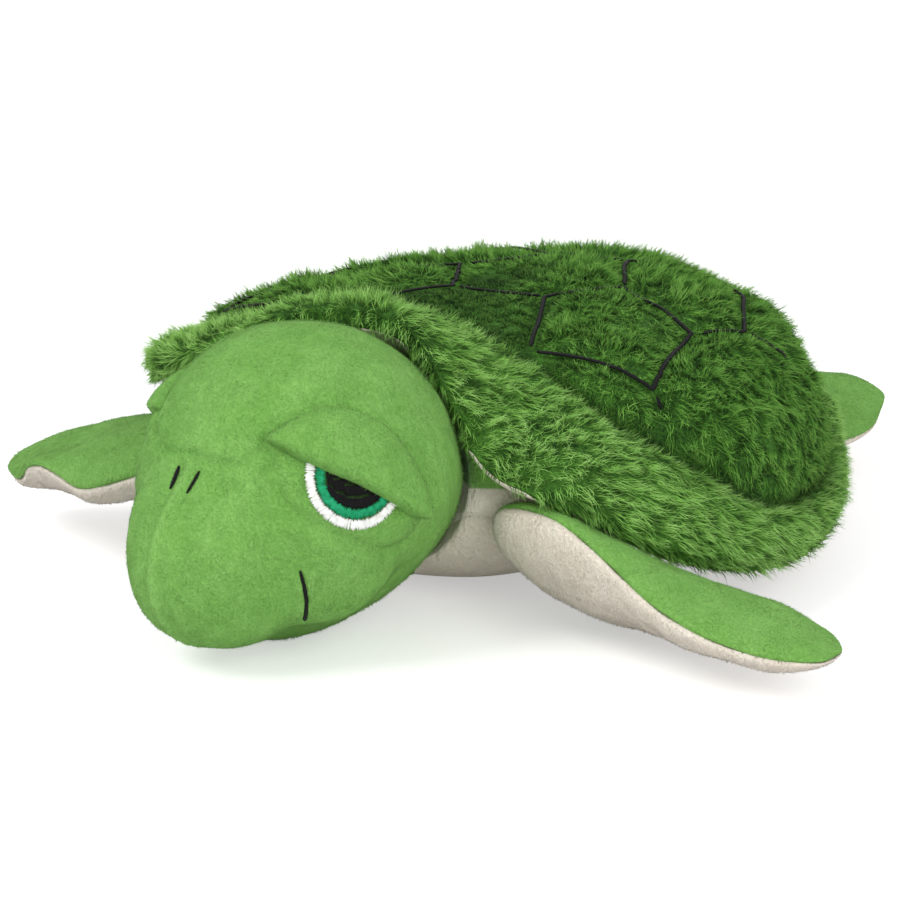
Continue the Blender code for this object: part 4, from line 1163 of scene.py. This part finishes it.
def make_dome():
    """The quilted dome, and its pile, which is short beside the lines and at the foot."""
    turns, levels = 176, 56
    rows = [[DOME_UNDER]]
    rows += [[dome_surface(turn / turns, level / levels) for turn in range(turns)]
             for level in range(levels)]
    rows.append([dome_surface(0, 1)])
    mesh = loft("shell_dome_plush", rows)
    points = vertices(mesh)
    near = np.min([line_distance(points, row) for row in scute_rows().values()], axis=0)
    sunk = QUILT_DEPTH * bell(near, QUILT_WIDTH) - DOME_PROUD - stuffing_lumps(points, *DOME_LUMPS)
    points -= vertex_normals(mesh) * sunk[:, None]
    points = clear_ball(points, HEAD_RADIUS + DOME_CLEARANCE)
    set_vertices(mesh, points)
    add_padded(mesh, "body", "shell_backing", ["shell_dome_cover", "shell_dome_filling"])
    cover = ramp(near, *LINE_BARE)
    cover[0] = 0
    feet = np.tile([dome_foot(turn / turns).z for turn in range(turns)], levels)
    height = points[:, 2] - np.concatenate([[1], feet, [0]])
    long = from_least(LINE_LEAST, ramp(near, *LINE_SHORT))
    long *= from_least(FOOT_LEAST, ramp(height, *FOOT_SHORT))
    # The pile is darkened with painted shade low over the dome's foot
    grow_pile(mesh, "dome", "shell_plush", cover, long, 1 - ramp(height, *FOOT_SHADE), DOME_LAY)


def rim_mesh(name, start, end, turns, arch, inside):
    """Half of the rim's padding, from one angle round it to another, and closed inside."""
    rows = []
    for turn in range(turns):
        run = end[turn] - start[turn]
        row = [rim_surface(turn / turns, start[turn] + run * step / arch)
               for step in range(arch + 1)]
        rows.append(row + between(row[-1], row[0], inside))
    return loft(name, rows, ring=True)


def make_rim():
    """The rim's green top and its pile, and its cream lining, which shows at the left front."""
    turns, arch, inside = 220, 30, 12
    bare = RIM_BARE_REACH - abs(np.arange(turns) / turns - RIM_BARE_TURN)
    wrap = RIM_WRAP * (1 - ramp(bare, 0.0, RIM_BARE_EDGE))
    flat = np.full(turns, pi)
    mesh = rim_mesh("shell_rim_plush", -wrap, flat, turns, arch, inside)
    lining = rim_mesh("shell_rim_lining_plush", flat, 2 * pi - wrap, turns, arch, inside)
    set_vertices(lining, clear_ball(vertices(lining), HEAD_RADIUS + RIM_CLEARANCE))

    points = vertices(mesh)
    feet = np.array([dome_foot(turn / turns) for turn in range(turns)])
    feet = np.repeat(feet, arch + inside, axis=0)
    groove = bell(np.linalg.norm((points - feet)[:, :2], axis=1), RIM_GROOVE_WIDTH)
    level = np.tile(np.arange(arch + inside) / arch, turns)
    inset = sizes().rim_inset * ramp(level, *RIM_INSET_EDGE) * ramp(1 - level, *RIM_INSET_EDGE)
    points -= vertex_normals(mesh) * (inset * (1 + groove))[:, None]
    points = clear_ball(points, HEAD_RADIUS + RIM_CLEARANCE)
    set_vertices(mesh, points)
    add_padded(mesh, "body", "shell_backing", ["shell_rim_cover", "shell_rim_filling"])
    cover = np.where(level <= 1, 1.0, 0.0) * ramp(-level, *RIM_END_BARE)
    long = 1 - RIM_REAR_TRIM * ramp(points[:, 1], *RIM_REAR)
    long *= (from_least(RIM_END_LEAST, ramp(-level, *RIM_END_SHORT))
             * (1 - RIM_GROOVE_TRIM * groove))
    # The groove beside the dome's foot is also painted on the pile as shade
    grow_pile(mesh, "rim", "rim_plush", cover, long, groove, RIM_LAY)
    add_padded(lining, "body", "cream_plush", ["shell_rim_lining"])


def make_scutes():
    """The black embroidered outlines of the shell's plates, on top of the backing."""
    generator = np.random.default_rng(5)
    tree = BVHTree.FromObject(bpy.data.objects["shell_dome_plush"],
                              bpy.context.evaluated_depsgraph_get())
    laid = [], [], [], []
    rows = scute_rows()
    for row in rows.values():
        seats = [tree.find_nearest(Vector(point)) for point in row]
        places = [seat[0] + seat[1] * sizes().scute_lift for seat in seats]
        for whole, part in zip(laid, satin_line(places, [seat[1] for seat in seats],
                                                SCUTE_HALF_WIDTH, generator,
                                                SCUTE_THREAD_RADIUS)):
            whole.extend(part)
    stitch("scute_threads", "body", "black", list(rows), laid, SCUTE_THREAD_RADIUS)


# Flippers

DROP_TERMS = (1.6, 0.6)
SPINE_SWEEP = 0.03
TIP_THINNING = 0.45
LIFT_SWELL = 0.8
PLAN_TERMS = (0.68, 1.40, -1.55)
PLAN_SWELLS = (0.6, 0.5)
UNDERSIDE_FULLNESS = 1.25
FLIPPER_SEAM_WIDTH = 0.0018
RIPPLE_DEPTH = 0.0004
RIPPLE_LENGTH = 0.0062
RIPPLE_REACH = 0.005
CURL_PLACE = 0.6
CURL_SPREAD = 0.18


class Flipper:
    """A flat stuffed limb on a bent spine, with a cream underside."""

    def __init__(self, name, side, root, heading, measures, twists, wave, tip):
        self.name, self.side, self.root, self.twists = name, side, Vector(root), twists
        self.length, self.drop, self.chord, self.thickness = measures
        self.wave = wave
        self.tip_taper, self.tip_drop, self.curl = tip
        self.ahead = Vector((cos(radians(heading)), sin(radians(heading)), 0))
        self.leading = Vector((sin(radians(heading)), -cos(radians(heading)), 0))

    def spine(self, share):
        middle = self.root + self.ahead * (self.length * share)
        drop = self.drop * (DROP_TERMS[0] * share - DROP_TERMS[1] * share ** 2)
        middle -= UP * (drop + self.tip_drop * share ** 4)
        return middle - self.leading * (self.length * SPINE_SWEEP * sin(pi * share))

    def surface(self, share, angle):
        """A point round the limb: an angle of zero is the front seam, and pi the rear one."""
        level = sqrt(max(1 - (2 * share - 1) ** 2, 0))
        turn = share ** 2 * (3 - 2 * share)
        twist = self.twists[0] + (self.twists[1] - self.twists[0]) * turn
        twist = radians(twist + np.interp(share, *zip(*self.wave)))
        chord_axis = self.leading * cos(twist) + UP * sin(twist)
        lift_axis = UP * cos(twist) - self.leading * sin(twist)
        width = PLAN_TERMS[0] + PLAN_TERMS[1] * share + PLAN_TERMS[2] * share ** 2
        width *= 1 - self.tip_taper * share ** 5
        half_chord = self.chord / 2 * width * level ** PLAN_SWELLS[share >= 0.5]
        half_lift = self.thickness / 2 * (1 - TIP_THINNING * share) * level ** LIFT_SWELL
        if angle > pi:
            half_lift *= UNDERSIDE_FULLNESS
        seam = min(abs(angle), abs(angle - pi), abs(angle - 2 * pi)) * half_chord
        pinch = sizes().seam_depth * bell(seam, FLIPPER_SEAM_WIDTH) * min(level * 2, 1)
        ripple = RIPPLE_DEPTH * sin(share * self.length / RIPPLE_LENGTH * 2 * pi)
        ripple *= np.exp(-seam / RIPPLE_REACH)
        point = self.spine(share) + chord_axis * (max(half_chord - pinch, 0) * cos(angle))
        point += lift_axis * ((half_lift + ripple * level) * sin(angle))
        point += UP * (self.curl * max(cos(angle), 0) ** 2 * bell(share - CURL_PLACE, CURL_SPREAD))
        return Vector((point.x * self.side, point.y, point.z))

    def make(self):
        stations, arch = 110, 36
        for word, start, finish, nodes in (("top", 0, "leaf_plush", ["_top", "_filling"]),
                                           ("underside", pi, "cream_plush", ["_underside"])):
            rows = [[self.surface(0, 0)]]
            for station in range(1, stations):
                share = (1 - cos(pi * station / stations)) / 2
                row = [self.surface(share, start + pi * step / arch) for step in range(arch + 1)]
                rows.append(row + between(row[-1], row[0], 10))
            rows.append([self.surface(1, 0)])
            mesh = loft("%s_%s_plush" % (self.name, word), rows)
            points = vertices(mesh)
            lumps = stuffing_lumps(points, sizes().lump_depth, 0.02)
            set_vertices(mesh, points + vertex_normals(mesh) * lumps[:, None])
            half = add_padded(mesh, self.name, finish, [self.name + node for node in nodes])
            if word == "top" or self.name.startswith("front"):
                grow_nap(half, self.name, finish)


# Root, heading, (length, drop, chord, thickness), twists, wave, (tip taper, tip drop, curl)
REAR_FLIPPER = ((0.055, 0.079, 0.0185), 78, (0.095, -0.008, 0.054, 0.019), (0, -24),
                ((0.5, 0), (1, 6)), (0, 0, 0))
FLIPPERS = (
    Flipper("front_left_flipper", 1, (0.0543, -0.100, 0.0362), -4, (0.125, 0.0205, 0.057, 0.026),
            (60, -10), ((0.6, 0), (0.8, 6), (1, 12)), (-0.15, -0.001, 0)),
    Flipper("front_right_flipper", -1, (0.0588, -0.109, 0.048), 12, (0.109, 0.0205, 0.059, 0.026),
            (-10, -34), ((0.4, 0), (0.7, 12), (1, -4)), (0.45, 0.005, 0.010)),
    Flipper("rear_left_flipper", 1, *REAR_FLIPPER),
    Flipper("rear_right_flipper", -1, *REAR_FLIPPER),
)


# Stage

def point_at(obj, place, way):
    obj.location = place
    obj.rotation_mode = "QUATERNION"
    obj.rotation_quaternion = way.to_track_quat("-Z", "Y")


def make_camera():
    data = bpy.data.cameras.new("camera")
    data.sensor_width = 36
    data.lens = 108
    back = compass(*CAMERA_PLACE)
    camera = new_object("camera", data)
    point_at(camera, CAMERA_TARGET + back * CAMERA_DISTANCE, -back)
    bpy.context.scene.camera = camera


def make_lamp(name, place, size, power):
    data = bpy.data.lights.new(name, "AREA")
    data.shape, data.size, data.energy = "DISK", size, power
    point_at(new_object(name, data), place, CAMERA_TARGET - Vector(place))


def looked_at(g):
    """One where the camera, a gloss or a glass looks at a surface, so that it can be white."""
    path = g.add("ShaderNodeLightPath").outputs
    reflected = g.math("MAXIMUM", path["Is Glossy Ray"], path["Is Transmission Ray"])
    return g.math("MAXIMUM", path["Is Camera Ray"], reflected)


def make_stage():
    bpy.context.scene.view_settings.view_transform = "Standard"
    mesh = bpy.data.meshes.new("floor")
    corners = [(x * FLOOR_REACH, y * FLOOR_REACH, 0) for x, y in ((-1, -1), (1, -1), (1, 1), (-1, 1))]
    mesh.from_pydata(corners, [], [(0, 1, 2, 3)])
    material, g, shader = new_material("pale_floor", 0.9, 0.0)
    g.plug(linear(bpy.context.scene.turtle_colours.floor), shader["Base Color"])
    glow = g.add("ShaderNodeEmission", {"Color": (1, 1, 1),
                                        "Strength": g.math("MULTIPLY", looked_at(g), FLOOR_GLOW)})
    both = g.add("ShaderNodeAddShader", {0: g.tree.nodes["Principled BSDF"], 1: glow})
    g.plug(both, g.tree.nodes["Material Output"].inputs["Surface"])
    new_object("floor", mesh, material)
    world = bpy.data.worlds.new("pale_room")
    bpy.context.scene.world = world
    world.use_nodes = True
    g = Graph(world.node_tree)
    back = g.tree.nodes["Background"].inputs
    room = sizes().room_light
    g.plug((1, 1, 1), back["Color"])
    g.plug(g.math("ADD", g.math("MULTIPLY", looked_at(g), 1 - room), room), back["Strength"])
    make_lamp("key_lamp", (-0.7, -1.5, 1.7), 1.2, sizes().key_power)
    make_lamp("fill_lamp", (1.7, -1.0, 1.0), 1.4, sizes().fill_power)
    make_camera()


# What a user may change

def metres(name, description, default):
    return bpy.props.FloatProperty(name=name, description=description, default=default,
                                   unit="LENGTH", subtype="DISTANCE", precision=5)


def tone(name, description, default):
    return bpy.props.FloatVectorProperty(name=name, description=description, default=default,
                                         subtype="COLOR_GAMMA", min=0, max=1)


class TurtleSizes(bpy.types.PropertyGroup):
    """Sizes of the cloth, the pile and the thread, and the strength of the lamps"""
    dome_length: metres("Dome pile", "Length of the pile on the dome", 0.0052)
    rim_length: metres("Rim pile", "Length of the pile on the rim", 0.0052)
    dome_width: metres("Dome fibre", "Half width of a fibre on the dome", 0.00022)
    dome_spacing: metres("Dome spacing", "Least distance between the dome's fibres", 0.00072)
    rim_width: metres("Rim fibre", "Half width of a fibre on the rim", 0.00019)
    rim_spacing: metres("Rim spacing", "Least distance between the rim's fibres", 0.00064)
    rim_inset: metres("Rim inset", "How far the rim's backing lies under its outline", 0.0030)
    nap_length: metres("Nap length", "Length of the short fibres of the plush", 0.0009)
    nap_width: metres("Nap width", "Half width of a short fibre at its root", 0.00015)
    nap_spacing: metres("Nap spacing", "Least distance between two short fibres", 0.00085)
    lid_thickness: metres("Lid thickness", "How far an eyelid stands out", 0.0075)
    seam_depth: metres("Seam depth", "How far a seam pulls the cloth in", 0.0009)
    lump_depth: metres("Stuffing lumps", "How uneven the stuffing is", 0.0005)
    thread_radius: metres("Thread radius", "Half the thickness of the thread", 0.00026)
    scute_lift: metres("Shell thread height", "Height of the thread over the backing", 0.0028)
    pile_scatter: bpy.props.FloatProperty(name="Pile scatter", subtype="FACTOR", default=0.14,
                                          description="How untidily the pile lies")
    room_light: bpy.props.FloatProperty(name="Room light", default=0.62,
                                        description="Strength of the even light all round")
    key_power: bpy.props.FloatProperty(name="Key lamp", default=23.0, unit="POWER",
                                       description="Power of the lamp in front")
    fill_power: bpy.props.FloatProperty(name="Fill lamp", default=18.0, unit="POWER",
                                        description="Power of the lamp at the side")


class TurtleColours(bpy.types.PropertyGroup):
    """Colours of the cloth, the thread and the floor"""
    leaf: tone("Leaf green", "Plush of the head and flippers", (0.48, 0.70, 0.33))
    leaf_light: tone("Light leaf green", "Leaf plush brushed towards the light", (0.58, 0.79, 0.43))
    leaf_dark: tone("Dark leaf green", "Leaf plush between its fibres", (0.36, 0.58, 0.23))
    shell: tone("Shell green", "Pile of the dome", (0.365, 0.61, 0.21))
    shell_tip: tone("Shell tips", "Tips of the dome's pile", (0.60, 0.82, 0.39))
    # Painted shade: the roots' colour stands for the shade deep in the dome's pile
    shell_root: tone("Shell roots", "Roots of the pile", (0.05, 0.16, 0.03))
    rim: tone("Rim green", "Pile of the rim", (0.53, 0.78, 0.33))
    rim_tip: tone("Rim tips", "Tips of the rim's pile", (0.76, 0.96, 0.56))
    # Painted shade: the roots' colour stands for the shade deep in the rim's pile
    rim_root_shade: tone("Rim roots", "Roots of the rim's pile", (0.10, 0.26, 0.06))
    cream: tone("Cream", "Plush of the undersides", (0.95, 0.905, 0.845))
    cream_light: tone("Light cream", "Cream plush brushed towards the light", (0.995, 0.97, 0.925))
    cream_dark: tone("Dark cream", "Cream plush between its fibres", (0.87, 0.81, 0.74))
    white_thread: tone("White thread", "Outer ring of the eyes", (0.88, 0.88, 0.86))
    teal_thread: tone("Teal thread", "Iris of the eyes", (0.03, 0.50, 0.32))
    black_thread: tone("Black thread", "Pupils, mouth, nostrils and shell lines", (0.015, 0.015, 0.02))
    floor: tone("Floor", "The floor and backdrop", (0.93, 0.93, 0.93))


class TurtleOperator(bpy.types.Operator):
    """Makes one group of pieces"""
    bl_options = {"REGISTER", "UNDO"}
    steps = ()

    def execute(self, context):
        for step in self.steps:
            step()
        return {"FINISHED"}


class TURTLE_OT_stage(TurtleOperator):
    """Makes the floor, the lamps and the camera"""
    bl_idname, bl_label = "turtle.stage", "Stage"
    steps = (make_stage,)


class TURTLE_OT_head(TurtleOperator):
    """Makes the stuffed head with its beak, creases and seams"""
    bl_idname, bl_label = "turtle.head", "Head"
    steps = (make_head,)


class TURTLE_OT_eyelids(TurtleOperator):
    """Makes the padded eyelids"""
    bl_idname, bl_label = "turtle.eyelids", "Eyelids"
    steps = (make_eyelids,)


class TURTLE_OT_embroidery(TurtleOperator):
    """Stitches the eyes, the nostrils and the mouth"""
    bl_idname, bl_label = "turtle.embroidery", "Embroidery"
    steps = (make_eyes, make_face_lines)


class TURTLE_OT_body(TurtleOperator):
    """Makes the body and the neck"""
    bl_idname, bl_label = "turtle.body", "Body and neck"
    steps = (make_body, make_neck)


class TURTLE_OT_shell(TurtleOperator):
    """Makes the dome and the rim with their pile"""
    bl_idname, bl_label = "turtle.shell", "Shell"
    steps = (make_dome, make_rim)


class TURTLE_OT_scutes(TurtleOperator):
    """Stitches the outlines of the shell's plates"""
    bl_idname, bl_label = "turtle.scutes", "Shell lines"
    steps = (make_scutes,)


class TURTLE_OT_flippers(TurtleOperator):
    """Makes the four flippers"""
    bl_idname, bl_label = "turtle.flippers", "Flippers"
    steps = tuple(flipper.make for flipper in FLIPPERS)


OPERATORS = (TURTLE_OT_stage, TURTLE_OT_head, TURTLE_OT_eyelids, TURTLE_OT_embroidery,
             TURTLE_OT_body, TURTLE_OT_shell, TURTLE_OT_scutes, TURTLE_OT_flippers)


class TURTLE_PT_panel(bpy.types.Panel):
    """Lists the turtle's sizes, colours and groups of pieces"""
    bl_label = "Plush turtle"
    bl_idname = "TURTLE_PT_panel"
    bl_space_type = "VIEW_3D"
    bl_region_type = "UI"
    bl_category = "Turtle"

    def draw(self, context):
        for operator in OPERATORS:
            self.layout.operator(operator.bl_idname)
        for group in (context.scene.turtle_sizes, context.scene.turtle_colours):
            for name in group.__annotations__:
                self.layout.prop(group, name)


CLASSES = (TurtleSizes, TurtleColours, *OPERATORS, TURTLE_PT_panel)


def register():
    for cls in CLASSES:
        bpy.utils.register_class(cls)
    bpy.types.Scene.turtle_sizes = bpy.props.PointerProperty(type=TurtleSizes)
    bpy.types.Scene.turtle_colours = bpy.props.PointerProperty(type=TurtleColours)


def unregister():
    del bpy.types.Scene.turtle_colours
    del bpy.types.Scene.turtle_sizes
    for cls in reversed(CLASSES):
        bpy.utils.unregister_class(cls)


def main():
    register()
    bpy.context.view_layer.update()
    for operator in OPERATORS:
        group, name = operator.bl_idname.split(".")
        getattr(getattr(bpy.ops, group), name)()


if __name__ == "__main__":
    main()
